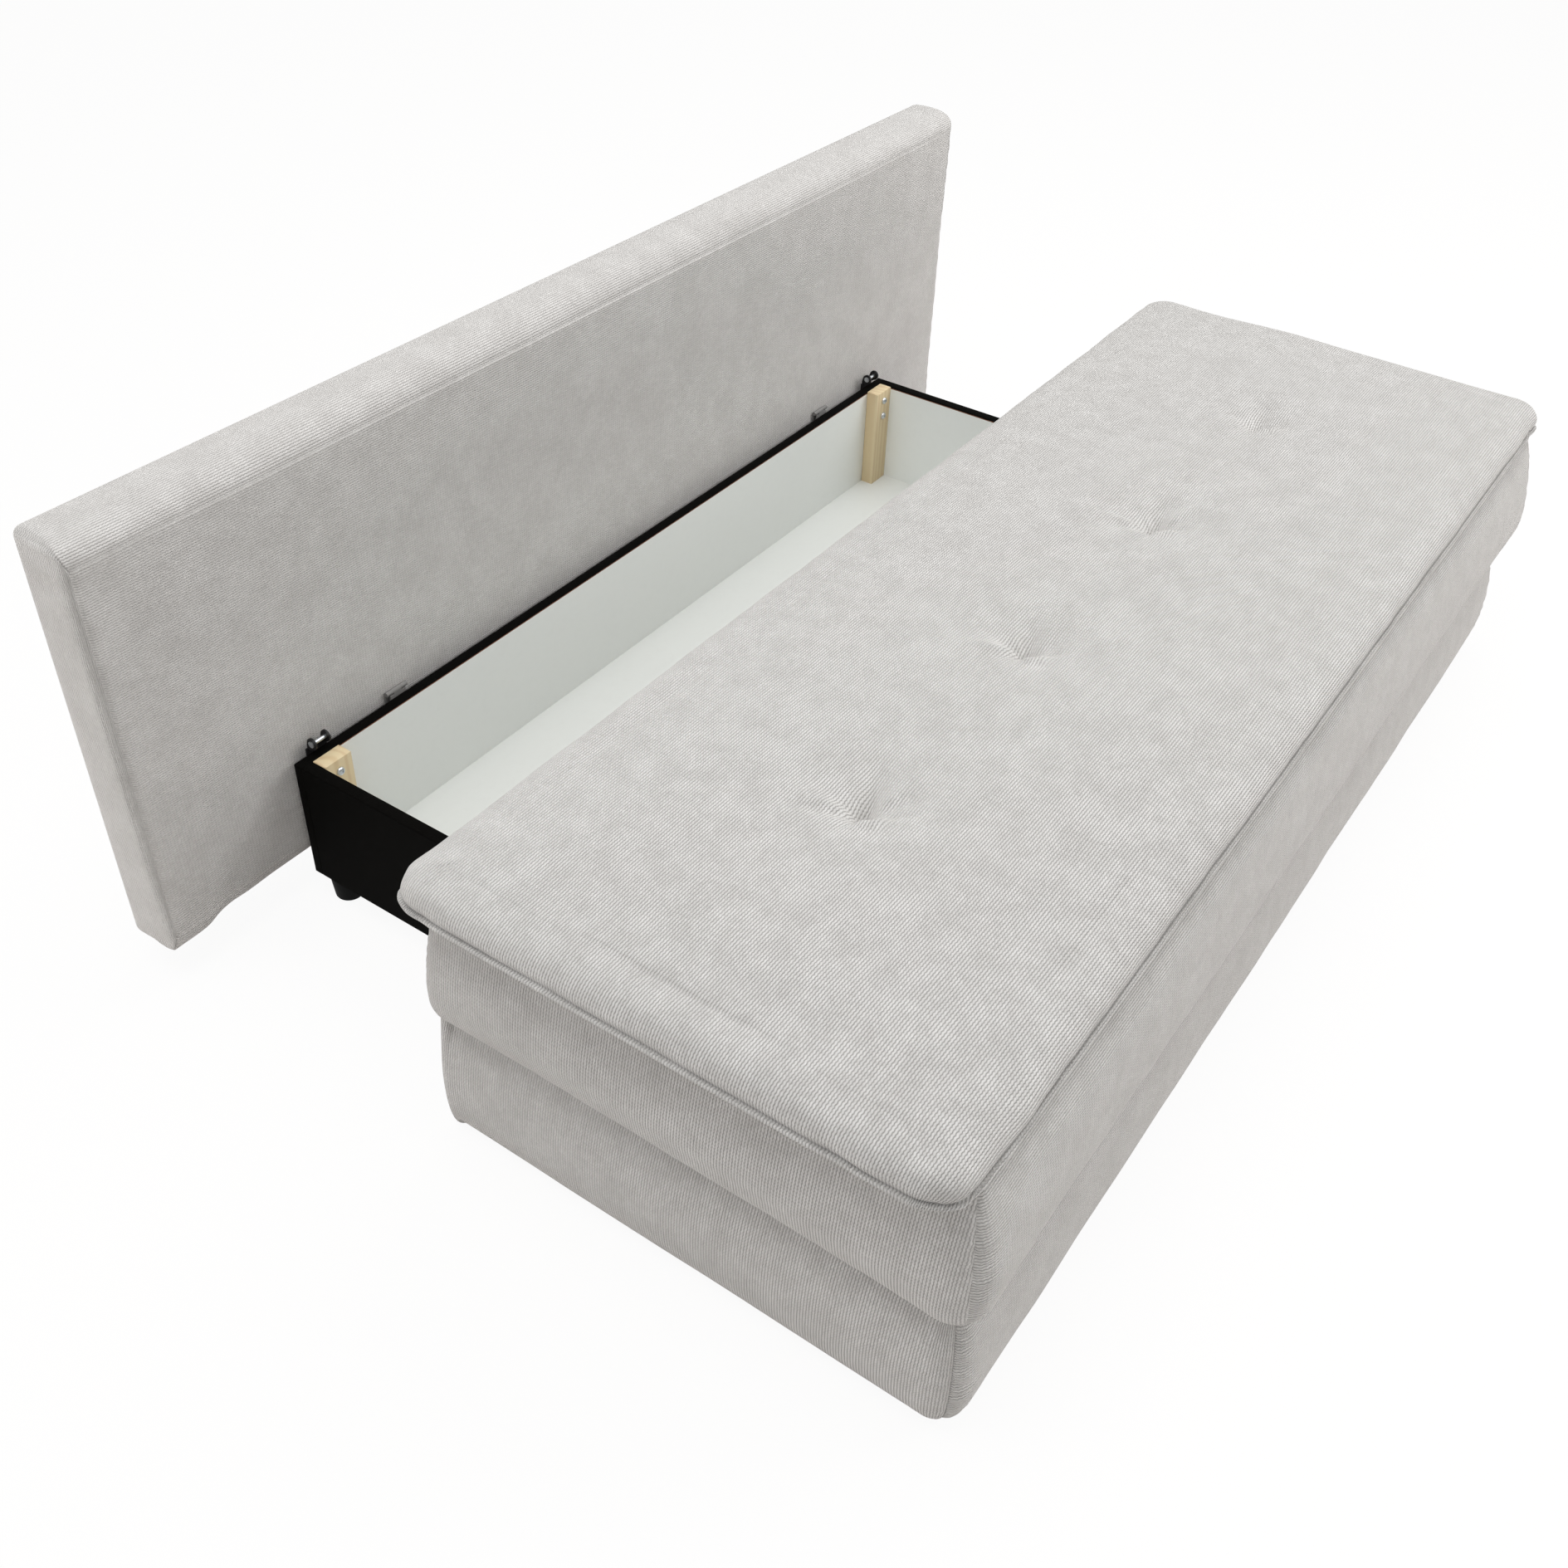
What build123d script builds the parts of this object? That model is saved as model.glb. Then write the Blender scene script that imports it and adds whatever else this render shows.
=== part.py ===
from build123d import *
import os

os.makedirs("parts", exist_ok=True)

# Storage sofa bed, in millimetres, with the seat rolled out and the backrest upright.
# The origin is the middle of its footprint on the floor. +X is along the length, +Z is up,
# and the seat rolls out towards -Y.

# Backrest
back_length = 2000.0
back_height = 643.0
back_thickness = 91.0
back_floor_gap = 55.0
back_wall_gap = 10.0
back_corner_radius = 26.0
back_draw_in = 12.0

# Storage box
box_end_gap = 119.0
foot_height = 43.5
wall_height = 200.0
cross_wall_thickness = 17.0
side_wall_thickness = 20.0
floor_thickness = 5.0

# Feet
foot_top_radius = 25.0
foot_bottom_radius = 21.0
foot_inset = 27.0
foot_setback = 36.0

# Floor battens
batten_width = 45.0
batten_height = 20.0
batten_side_inset = 393.0
batten_end_inset = 2.0

# Corner blocks and their bolts
corner_block_width = 48.0
corner_block_depth = 25.0
bolt_radius = 3.0
bolt_length = 36.0
bolt_head_radius = 6.5
bolt_head_height = 4.5
bolt_top_drop = 20.0
bolt_spacing = 32.0

# Foot screws
foot_screw_radius = 2.5
foot_screw_head_radius = 5.0
foot_screw_head_height = 4.0
foot_screw_recess = 6.0
foot_screw_bite = 24.0

# Seat, drawn where it stands when it is rolled out
closed_gap = 3.3
mattress_end_inset = 18.0
mattress_depth = 758.7
mattress_height = 200.0
mattress_corner_radius = 58.0
mattress_draw_in = 17.0
seam_drop = 25.0
base_end_inset = 10.0
base_end_pad_thickness = 72.0
base_front_pad_thickness = 51.0
base_rear_inset = 7.0
base_front_inset = 5.0
base_corner_radius = 60.0
base_draw_in = 42.0
base_floor_gap = 6.0
topper_end_reach = 24.0
topper_front_inset = 27.0
topper_corner_radius = 62.0
topper_thickness = 43.0
topper_lip_thickness = 5.0
topper_lip_width = 7.0
topper_crown_draw_in = 62.0

# Tufts along the topper
tuft_count = 4
tuft_end_inset = 406.0
tuft_forward = 8.0
tuft_dish_radius = 78.0
tuft_dish_depth = 11.0
button_radius = 11.0
button_height = 5.0
button_edge = 1.6

# Seat frame
board_thickness = 18.0
board_floor_gap = 30.0
frame_rear_setback = 35.7
deck_rail_width = 60.0
deck_rail_height = 18.0
deck_thickness = 8.0
cross_rail_count = 7
deck_clearance = 6.5

# Foam cores
mattress_core_wall = 40.0
mattress_core_cap = 22.0
topper_core_wall = 75.0
topper_core_cap = 7.0
back_core_wall = 45.0
back_core_cap = 22.0

# Backrest frame
back_rail_width = 60.0
back_stile_count = 5

# Seat guides and stops
guide_clearance = 1.5
soft_clearance = 0.3
runner_width = 20.0
runner_height = 22.0
stop_block_depth = 30.0
stop_block_height = 21.0
bumper_radius = 15.0
bumper_thickness = 7.7
bumper_side_inset = 363.0

# Castors
wheel_radius = 25.0
wheel_width = 22.0
wheel_hub_radius = 9.0
wheel_hub_side = 1.5
wheel_groove = 1.5
wheel_axle_clearance = 0.05
castor_plate_thickness = 3.0
castor_plate_width = 46.0
castor_plate_height = 92.0
castor_axle_radius = 4.0
castor_axle_head_radius = 6.5
castor_axle_head_height = 2.5
castor_inset_y = 62.0
castor_roof_gap = 5.0
castor_screw_radius = 2.5
castor_screw_head_radius = 4.5
castor_screw_head_height = 2.5
castor_screw_length = 14.0
castor_screw_top_inset = 9.0
castor_screw_spacing = 13.5

# Catch brackets on the rear wall, with the pins that the seat's hooks run onto
catch_side_inset = 44.0
catch_plate_width = 36.0
catch_plate_thickness = 2.5
catch_plate_drop = 42.0
catch_plate_rise = 9.0
catch_ear_gap = 22.0
catch_ear_thickness = 3.0
catch_ear_radius = 9.0
catch_pin_forward = 8.5
catch_pin_rise = 19.5
catch_pin_radius = 3.0
catch_pin_head_radius = 5.0
catch_pin_head_height = 1.5
catch_screw_radius = 2.0
catch_screw_head_radius = 4.0
catch_screw_head_height = 2.0
catch_screw_length = 12.0
catch_screw_inset = 9.0

# Seat hooks
hook_width = 10.0
hook_length = 28.0
hook_height = 22.0
hook_slot_clearance = 0.4
hook_flange_thickness = 3.0
hook_flange_width = 44.0

# Lifting hinges behind the rear wall
hinge_stile_gap = 47.5
hinge_pin_y = 5.0
hinge_pin_rise = 7.5
hinge_pin_radius = 2.0
hinge_barrel_radius = 3.6
hinge_centre_width = 16.0
hinge_leaf_width = 40.0
hinge_leaf_thickness = 2.4
hinge_leaf_foot_gap = 1.0
hinge_leaf_gap = 0.3
hinge_running_gap = 0.25
hinge_pin_clearance = 0.05
hinge_screw_head_height = 0.5
strap_width = 30.0
strap_thickness = 3.0
strap_back_gap = 0.2
strap_overlap = 51.0
guide_base_thickness = 1.0
guide_side_clearance = 0.3
guide_side_width = 5.0
guide_lip_thickness = 2.0
guide_lip_reach = 5.0
guide_wing_width = 12.0
guide_top_drop = 8.0
guide_foot_height = 8.0
stop_pin_radius = 2.5
stop_pin_drop = 30.0
guide_screw_radius = 2.0
guide_screw_head_radius = 3.8
guide_screw_head_height = 2.2
guide_screw_length = 12.0
guide_screw_inset = 20.0

# Rubber buffers between the rear wall and the backrest
buffer_radius = 14.0
buffer_side_inset = 463.0
buffer_drop = 140.0

# Heights up a side and how far it is drawn in there, as shares of the height and of the draw-in
mattress_side_shares = ((0, 1), (0.06, 0.55), (0.18, 0.16), (0.42, 0), (0.68, 0.06), (0.88, 0.4), (1, 1))
base_side_shares = ((0, 1), (0.05, 0.6), (0.14, 0.28), (0.3, 0.05), (0.55, 0), (0.85, 0.05), (1, 0.24))
back_side_shares = ((0, 1), (0.05, 0.55), (0.14, 0.18), (0.3, 0), (0.7, 0), (0.86, 0.18), (0.95, 0.55), (1, 1))
topper_side_shares = ((0, 0), (0.22, 0), (0.5, 0.04), (0.74, 0.16), (0.9, 0.42), (1, 1))
# A loft's corner stays at least this share of its plan corner
least_corner_share = 0.3

# Heights that follow from the sizes above
rim = foot_height + wall_height
floor_top = foot_height + floor_thickness
deck_bottom = rim + deck_clearance
deck_top = deck_bottom + deck_rail_height
bed_bottom = deck_top + deck_thickness
seam_height = deck_bottom - seam_drop
mattress_top_height = seam_height + mattress_height
topper_top = mattress_top_height + topper_thickness
hinge_height = rim + hinge_pin_rise
back_rail_top = back_floor_gap + back_core_wall + back_rail_width
hinge_leaf_height = hinge_height - back_rail_top - hinge_leaf_foot_gap

# The backrest folds down into the gap behind the seat, and lifts first to lie level with the topper
seat_gap = back_floor_gap + back_height - hinge_height - hinge_pin_y + closed_gap
lift_travel = topper_top - hinge_height - back_wall_gap - back_thickness + hinge_pin_y
strap_drop = lift_travel + strap_overlap
seat_travel = back_wall_gap + seat_gap - closed_gap

# Places from the rear to the front
front_reach = seat_gap + mattress_depth
rear_reach = back_wall_gap + back_thickness
box_rear = (front_reach - rear_reach) / 2
back_front = box_rear + back_wall_gap
inner_rear = box_rear - cross_wall_thickness
seat_rear = box_rear - seat_gap
seat_front = seat_rear - mattress_depth
frame_rear = seat_rear - frame_rear_setback
frame_front = seat_front + base_front_inset + base_front_pad_thickness
board_face = frame_front + board_thickness
box_front = board_face + seat_travel + soft_clearance + bumper_thickness
inner_front = box_front + cross_wall_thickness

# Places from the middle to the ends
mattress_half_length = back_length / 2 - mattress_end_inset
topper_half_length = mattress_half_length + topper_end_reach
base_half_length = mattress_half_length - base_end_inset
frame_half_length = base_half_length - base_end_pad_thickness
board_inner = frame_half_length - board_thickness
box_half = board_inner - box_end_gap
inner_half = box_half - side_wall_thickness
batten_offset = box_half - batten_side_inset
catch_offset = box_half - catch_side_inset
back_stile_spacing = (back_length - 2 * back_core_wall - back_rail_width) / (back_stile_count - 1)
hinge_offset = back_stile_spacing + back_rail_width / 2 + hinge_stile_gap + hinge_leaf_width / 2
buffer_offset = box_half - buffer_side_inset
bumper_offset = box_half - bumper_side_inset
cross_rail_spacing = 2 * (frame_half_length - deck_rail_width / 2) / (cross_rail_count - 1)
tuft_spacing = 2 * (topper_half_length - tuft_end_inset) / (tuft_count - 1)

# Cutters run past what they cut by this much
overrun = board_thickness


def block(x_low, x_high, y_low, y_high, z_low, z_high):
    """A box between two corners."""
    size = (x_high - x_low, y_high - y_low, z_high - z_low)
    middle = ((x_low + x_high) / 2, (y_low + y_high) / 2, (z_low + z_high) / 2)
    return Pos(*middle) * Box(*size)


def rod(x, y, z, radius, length, direction):
    """A round bar that starts at a point and runs along a direction."""
    plane = Plane(origin=(x, y, z), z_dir=direction)
    return plane * Cylinder(radius, length, align=(Align.CENTER, Align.CENTER, Align.MIN))


def screw(x, y, z, radius, length, head_radius, head_height, direction):
    """A pan screw: its head sits on the point, and its shank runs along the direction."""
    back = tuple(-v for v in direction)
    head = rod(x, y, z, head_radius, head_height, back)
    head = fillet(head.edges().sort_by(Axis((x, y, z), back))[-1:], head_height / 3)
    return head + rod(x, y, z, radius, length, direction)


def pillow(length, depth, height, corner, draw_in, side_shares):
    """A soft block on z = 0 whose sides swell and draw in along its height."""
    sections = []
    for height_share, inset_share in side_shares:
        inset = draw_in * inset_share
        radius = max(corner - inset, corner * least_corner_share)
        outline = RectangleRounded(length - 2 * inset, depth - 2 * inset, radius)
        sections.append(Pos(0, 0, height * height_share) * outline)
    return loft(sections)


def mirrored(piece):
    """The piece and its mirror image across x = 0."""
    return [piece, mirror(piece, about=Plane.YZ)]


def save(node, pieces):
    """Write one node, a single solid or a group of separate ones."""
    solids = [s for piece in pieces for s in piece.solids()]
    shape = solids[0] if len(solids) == 1 else Compound(children=solids)
    shape.label = node
    export_step(shape, f"parts/{node}.step")


# Storage box

def bolt_places():
    """Where the bolts' heads sit: x, y, z and the direction of the shank."""
    x = inner_half - corner_block_width / 2
    places = []
    for side in (-1, 1):
        for drop in (bolt_top_drop, bolt_top_drop + bolt_spacing):
            places.append((side * x, inner_rear - corner_block_depth, rim - drop, (0, 1, 0)))
            places.append((side * x, inner_front + corner_block_depth, rim - drop, (0, -1, 0)))
    return places


def bolt_holes():
    """The bolts' shanks, as cutters."""
    return [rod(x, y, z, bolt_radius, bolt_length, way) for x, y, z, way in bolt_places()]


def foot_places():
    """The middle of each foot in plan."""
    x = box_half - foot_inset
    return [(sx * x, y) for sx in (-1, 1) for y in (box_rear - foot_setback, box_front + foot_setback)]


def foot_screw_shanks():
    """The foot screws' shanks, as cutters."""
    reach = foot_height - foot_screw_recess + floor_thickness + foot_screw_bite
    return [rod(x, y, foot_screw_recess, foot_screw_radius, reach, (0, 0, 1)) for x, y in foot_places()]


def fixing_holes():
    """Shanks of the screws that fix hardware to the rear wall, as cutters."""
    holes = [rod(x, box_rear, z, catch_screw_radius, catch_screw_length, (0, -1, 0)) for x, z in catch_screw_places()]
    reach = guide_screw_length
    holes += [rod(x, box_rear, z, guide_screw_radius, reach, (0, -1, 0)) for x, z in guide_screw_places()]
    return holes


def storage_box():
    """Walls, floor, battens, corner blocks, bolts and feet."""
    rear = block(-box_half, box_half, inner_rear, box_rear, foot_height, rim)
    front = block(-box_half, box_half, box_front, inner_front, foot_height, rim)
    side = block(inner_half, box_half, inner_front, inner_rear, foot_height, rim)
    corner = block(
        inner_half - corner_block_width, inner_half,
        inner_rear - corner_block_depth, inner_rear, foot_height, rim,
    )
    corners = mirrored(corner) + mirrored(
        Pos(0, inner_front + corner_block_depth - inner_rear, 0) * corner
    )
    panel = block(-inner_half, inner_half, inner_front, inner_rear, foot_height, floor_top)
    shanks = foot_screw_shanks()
    save("box_rear_wall", [rear - bolt_holes() - fixing_holes()])
    save("box_front_wall", [front - bolt_holes()])
    save("box_left_wall", [mirror(side, about=Plane.YZ)])
    save("box_right_wall", [side])
    save("box_floor", [panel - corners])
    save("corner_blocks", [c - bolt_holes() - shanks for c in corners])
    save("corner_bolts", [
        screw(x, y, z, bolt_radius, bolt_length, bolt_head_radius, bolt_head_height, way)
        for x, y, z, way in bolt_places()
    ])
    batten = block(
        batten_offset - batten_width / 2, batten_offset + batten_width / 2,
        box_front + batten_end_inset, box_rear - batten_end_inset,
        foot_height - batten_height, foot_height,
    )
    save("floor_battens", mirrored(batten))


def feet():
    """Tapered feet, each held by a screw from below."""
    taper = Cone(foot_bottom_radius, foot_top_radius, foot_height, align=(Align.CENTER, Align.CENTER, Align.MIN))
    recess = rod(0, 0, 0, foot_screw_head_radius, foot_screw_recess, (0, 0, 1))
    shank = rod(0, 0, 0, foot_screw_radius, foot_height, (0, 0, 1))
    foot = taper - recess - shank
    reach = foot_height - foot_screw_recess + floor_thickness + foot_screw_bite
    one_screw = screw(
        0, 0, foot_screw_recess, foot_screw_radius, reach,
        foot_screw_head_radius, foot_screw_head_height, (0, 0, 1),
    )
    save("feet", [Pos(x, y, 0) * foot for x, y in foot_places()])
    save("foot_screws", [Pos(x, y, 0) * one_screw for x, y in foot_places()])


# Catch brackets, buffers and strap guides on the rear wall

def catch_screw_places():
    """The catch plates' screws in x and z."""
    z = rim - catch_plate_drop + catch_screw_inset
    offset = catch_plate_width / 2 - catch_screw_inset
    return [(side * catch_offset + way * offset, z) for side in (-1, 1) for way in (-1, 1)]


def catch_brackets():
    """A plate outside the wall, whose two ears lean over the rim and hold a pin."""
    low = box_rear
    plate = block(
        catch_offset - catch_plate_width / 2, catch_offset + catch_plate_width / 2,
        low, low + catch_plate_thickness, rim - catch_plate_drop, rim + catch_plate_rise,
    )
    pin_y = box_rear - catch_pin_forward
    pin_z = rim + catch_pin_rise
    round_end = Pos(pin_y, pin_z) * Circle(catch_ear_radius)
    root_y = low + catch_plate_thickness / 2
    root = Pos(root_y, rim + catch_plate_rise) * Rectangle(catch_plate_thickness, catch_plate_rise)
    outline = make_hull(round_end.edges() + root.edges())
    ear_plane = Plane(origin=(catch_offset, 0, 0), x_dir=(0, 1, 0), z_dir=(1, 0, 0))
    half_gap = catch_ear_gap / 2
    ears = [
        extrude(ear_plane.offset(start) * outline, catch_ear_thickness)
        for start in (half_gap, -half_gap - catch_ear_thickness)
    ]
    pin_start = catch_offset - half_gap - catch_ear_thickness
    pin_length = catch_ear_gap + 2 * catch_ear_thickness
    shank = rod(pin_start, pin_y, pin_z, catch_pin_radius, pin_length, (1, 0, 0))
    screws = [
        rod(x, low, z, catch_screw_radius, catch_plate_thickness, (0, 1, 0)) for x, z in catch_screw_places()
    ]
    bracket = plate + ears - shank - screws
    heads = [
        rod(pin_start, pin_y, pin_z, catch_pin_head_radius, catch_pin_head_height, (-1, 0, 0)),
        rod(pin_start + pin_length, pin_y, pin_z, catch_pin_head_radius, catch_pin_head_height, (1, 0, 0)),
    ]
    save("catch_brackets", mirrored(bracket))
    save("catch_pins", mirrored(shank + heads))
    save("catch_screws", [
        screw(
            x, low + catch_plate_thickness, z, catch_screw_radius, catch_screw_length + catch_plate_thickness,
            catch_screw_head_radius, catch_screw_head_height, (0, -1, 0),
        )
        for x, z in catch_screw_places()
    ])


def guide_outer_half():
    """Half the width of a strap guide without its wings."""
    return strap_width / 2 + guide_side_clearance + guide_side_width


def guide_span():
    """The strap guide's bottom and top."""
    strap_foot = hinge_height - strap_drop
    return strap_foot - soft_clearance - guide_foot_height, rim - guide_top_drop


def guide_screw_places():
    """The strap guides' screws in x and z."""
    low, high = guide_span()
    offset = guide_outer_half() + guide_wing_width / 2
    heights = (low + guide_screw_inset, high - guide_screw_inset)
    return [
        (side * hinge_offset + way * offset, z)
        for side in (-1, 1) for way in (-1, 1) for z in heights
    ]


def strap_guides():
    """Channels on the rear wall's outside that the lifting straps run in."""
    low, high = guide_span()
    half = guide_outer_half()
    mouth = strap_width / 2 + guide_side_clearance
    groove_depth = strap_back_gap + strap_thickness + guide_side_clearance
    lip_start = box_rear + guide_base_thickness + groove_depth
    body = block(
        hinge_offset - half, hinge_offset + half, box_rear, lip_start + guide_lip_thickness, low, high,
    )
    wings = block(
        hinge_offset - half - guide_wing_width, hinge_offset + half + guide_wing_width,
        box_rear, box_rear + guide_base_thickness, low, high,
    )
    channel = block(
        hinge_offset - mouth, hinge_offset + mouth, box_rear + guide_base_thickness, lip_start,
        low + guide_foot_height, high + overrun,
    )
    slot = mouth - guide_lip_reach
    window = block(
        hinge_offset - slot, hinge_offset + slot, lip_start, lip_start + overrun,
        low + guide_foot_height, high + overrun,
    )
    stop_z = rim - stop_pin_drop
    stop_hole = rod(hinge_offset, box_rear, stop_z, stop_pin_radius, guide_base_thickness, (0, 1, 0))
    guide = body + wings - channel - window - stop_hole
    screws = [
        rod(x, box_rear, z, guide_screw_radius, guide_base_thickness, (0, 1, 0)) for x, z in guide_screw_places()
    ]
    stop_length = guide_base_thickness + strap_back_gap + strap_thickness
    stop = rod(hinge_offset, box_rear, stop_z, stop_pin_radius, stop_length, (0, 1, 0))
    save("strap_guides", [g - screws for g in mirrored(guide)])
    save("guide_stop_pins", mirrored(stop))
    save("guide_screws", [
        screw(
            x, box_rear + guide_base_thickness, z, guide_screw_radius, guide_screw_length + guide_base_thickness,
            guide_screw_head_radius, guide_screw_head_height, (0, -1, 0),
        )
        for x, z in guide_screw_places()
    ])


def buffers():
    """Rubber discs that the upright backrest leans on."""
    thickness = back_wall_gap - soft_clearance
    disc = rod(buffer_offset, box_rear, rim - buffer_drop, buffer_radius, thickness, (0, 1, 0))
    save("backrest_buffers", mirrored(disc))


# Lifting straps and the hinge

def hinge_axis():
    """The hinge pin's y and z."""
    return box_rear + hinge_pin_y, hinge_height


def lift_straps():
    """Flat straps that slide up in the guides, each with a barrel at its top."""
    pin_y, pin_z = hinge_axis()
    y_low = box_rear + guide_base_thickness + strap_back_gap
    half = strap_width / 2
    neck = hinge_centre_width / 2
    shoulder = pin_z - hinge_barrel_radius - hinge_running_gap
    wide = block(
        hinge_offset - half, hinge_offset + half, y_low, y_low + strap_thickness, pin_z - strap_drop, shoulder,
    )
    narrow = block(hinge_offset - neck, hinge_offset + neck, y_low, y_low + strap_thickness, shoulder, pin_z)
    barrel = rod(hinge_offset - neck, pin_y, pin_z, hinge_barrel_radius, hinge_centre_width, (1, 0, 0))
    bore = rod(hinge_offset - neck, pin_y, pin_z, hinge_pin_radius, hinge_centre_width, (1, 0, 0))
    stop_z = rim - stop_pin_drop
    slot_half = stop_pin_radius + guide_side_clearance
    slot = block(
        hinge_offset - slot_half, hinge_offset + slot_half, y_low, y_low + strap_thickness,
        stop_z - lift_travel - slot_half, stop_z + slot_half,
    )
    save("lift_straps", mirrored(wide + narrow + barrel - bore - slot))
    leaf_half = hinge_leaf_width / 2
    pin = rod(hinge_offset - leaf_half, pin_y, pin_z, hinge_pin_radius, hinge_leaf_width, (1, 0, 0))
    save("hinge_pins", mirrored(pin))


def leaf_screw_places():
    """The hinge leaves' screws in x and z."""
    offset = hinge_leaf_width / 2 - guide_screw_head_radius - hinge_leaf_thickness
    heights = (hinge_height - hinge_leaf_height + offset, hinge_height - hinge_leaf_height / 2)
    return [(hinge_offset + way * offset, z) for way in (-1, 1) for z in heights]


def hinge_leaves():
    """Leaves on the backrest's front face, with two barrels each on the hinge pin."""
    pin_y, pin_z = hinge_axis()
    half = hinge_leaf_width / 2
    neck = hinge_centre_width / 2 + hinge_running_gap
    y_high = back_front - hinge_leaf_gap
    y_low = y_high - hinge_leaf_thickness
    leaf = block(hinge_offset - half, hinge_offset + half, y_low, y_high, pin_z - hinge_leaf_height, pin_z)
    notch = block(
        hinge_offset - neck, hinge_offset + neck, y_low, y_high,
        pin_z - hinge_barrel_radius - hinge_running_gap, pin_z,
    )
    barrels = [
        rod(start, pin_y, pin_z, hinge_barrel_radius, half - neck, (1, 0, 0))
        for start in (hinge_offset - half, hinge_offset + neck)
    ]
    bore_radius = hinge_pin_radius + hinge_pin_clearance
    bore = rod(hinge_offset - half, pin_y, pin_z, bore_radius, hinge_leaf_width, (1, 0, 0))
    holes = [rod(x, y_low, z, guide_screw_radius, hinge_leaf_thickness, (0, 1, 0)) for x, z in leaf_screw_places()]
    save("hinge_leaves", mirrored(leaf - notch + barrels - bore - holes))


# Backrest

def back_core_bounds():
    """The backrest frame's outer box: x half, y low and high, z low and high."""
    low = back_floor_gap + back_core_wall
    high = back_floor_gap + back_height - back_core_wall
    return (
        back_length / 2 - back_core_wall,
        back_front + back_core_cap, back_front + back_thickness - back_core_cap, low, high,
    )


def leaf_screws(reach):
    """Screws through the hinge leaves into the backrest's frame."""
    y = back_front - hinge_leaf_gap - hinge_leaf_thickness
    one_side = [
        screw(
            x, y, z, guide_screw_radius, reach,
            guide_screw_head_radius, hinge_screw_head_height, (0, 1, 0),
        )
        for x, z in leaf_screw_places()
    ]
    return [s for one in one_side for s in mirrored(one)]


def backrest():
    """An upholstered panel over a ladder frame."""
    half, y_low, y_high, z_low, z_high = back_core_bounds()
    soft = pillow(
        back_length, back_height, back_thickness, back_corner_radius, back_draw_in, back_side_shares,
    )
    middle_z = back_floor_gap + back_height / 2
    soft = Pos(0, back_front + back_thickness, middle_z) * Rot(X=90) * soft
    core = block(-half, half, y_low, y_high, z_low, z_high)
    screw_reach = hinge_leaf_gap + hinge_leaf_thickness + back_core_cap + back_core_cap
    screws = leaf_screws(screw_reach)
    save("backrest_cover", [soft - core - screws])
    stiles = []
    for i in range(back_stile_count):
        x = -half + i * back_stile_spacing
        stiles.append(block(
            x, x + back_rail_width, y_low, y_high, back_rail_top, z_high - back_rail_width,
        ))
    rails = [
        block(-half, half, y_low, y_high, z_low, back_rail_top),
        block(-half, half, y_low, y_high, z_high - back_rail_width, z_high),
    ]
    pad_start = hinge_offset - hinge_leaf_width / 2
    pad_end = hinge_offset + hinge_leaf_width / 2
    pads = mirrored(block(pad_start, pad_end, y_low, y_high, back_rail_top, hinge_height))
    pads = [s for pad in pads for s in (pad - stiles - rails).solids()]
    save("backrest_rails", rails)
    save("backrest_stiles", stiles)
    save("hinge_screw_blocks", [pad - screws for pad in pads])
    save("hinge_screws", screws)


# Seat

def seat_middle():
    """The middle of the mattress layer in y."""
    return (seat_rear + seat_front) / 2


def mattress():
    """The middle layer: a bulging block with a recess below for the deck."""
    soft = pillow(
        2 * mattress_half_length, mattress_depth, mattress_height, mattress_corner_radius, mattress_draw_in,
        mattress_side_shares,
    )
    soft = Pos(0, seat_middle(), seam_height) * soft
    recess = block(
        -frame_half_length, frame_half_length, frame_front, seat_rear + overrun, seam_height - overrun, bed_bottom,
    )
    core = block(
        -mattress_half_length + mattress_core_wall, mattress_half_length - mattress_core_wall,
        seat_front + mattress_core_wall, seat_rear - mattress_core_wall,
        bed_bottom + mattress_core_cap, mattress_top_height - mattress_core_cap,
    )
    save("mattress_cover", [soft - recess - core])
    save("mattress_core", [core])


def topper_bounds():
    """The topper's length, depth and middle in y."""
    depth = mattress_depth - topper_front_inset
    return 2 * topper_half_length, depth, seat_rear - depth / 2


def tuft_places():
    """The tufts' middles in plan."""
    y = topper_bounds()[2] - tuft_forward
    first_x = tuft_end_inset - topper_half_length
    return [(first_x + i * tuft_spacing, y) for i in range(tuft_count)]


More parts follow.
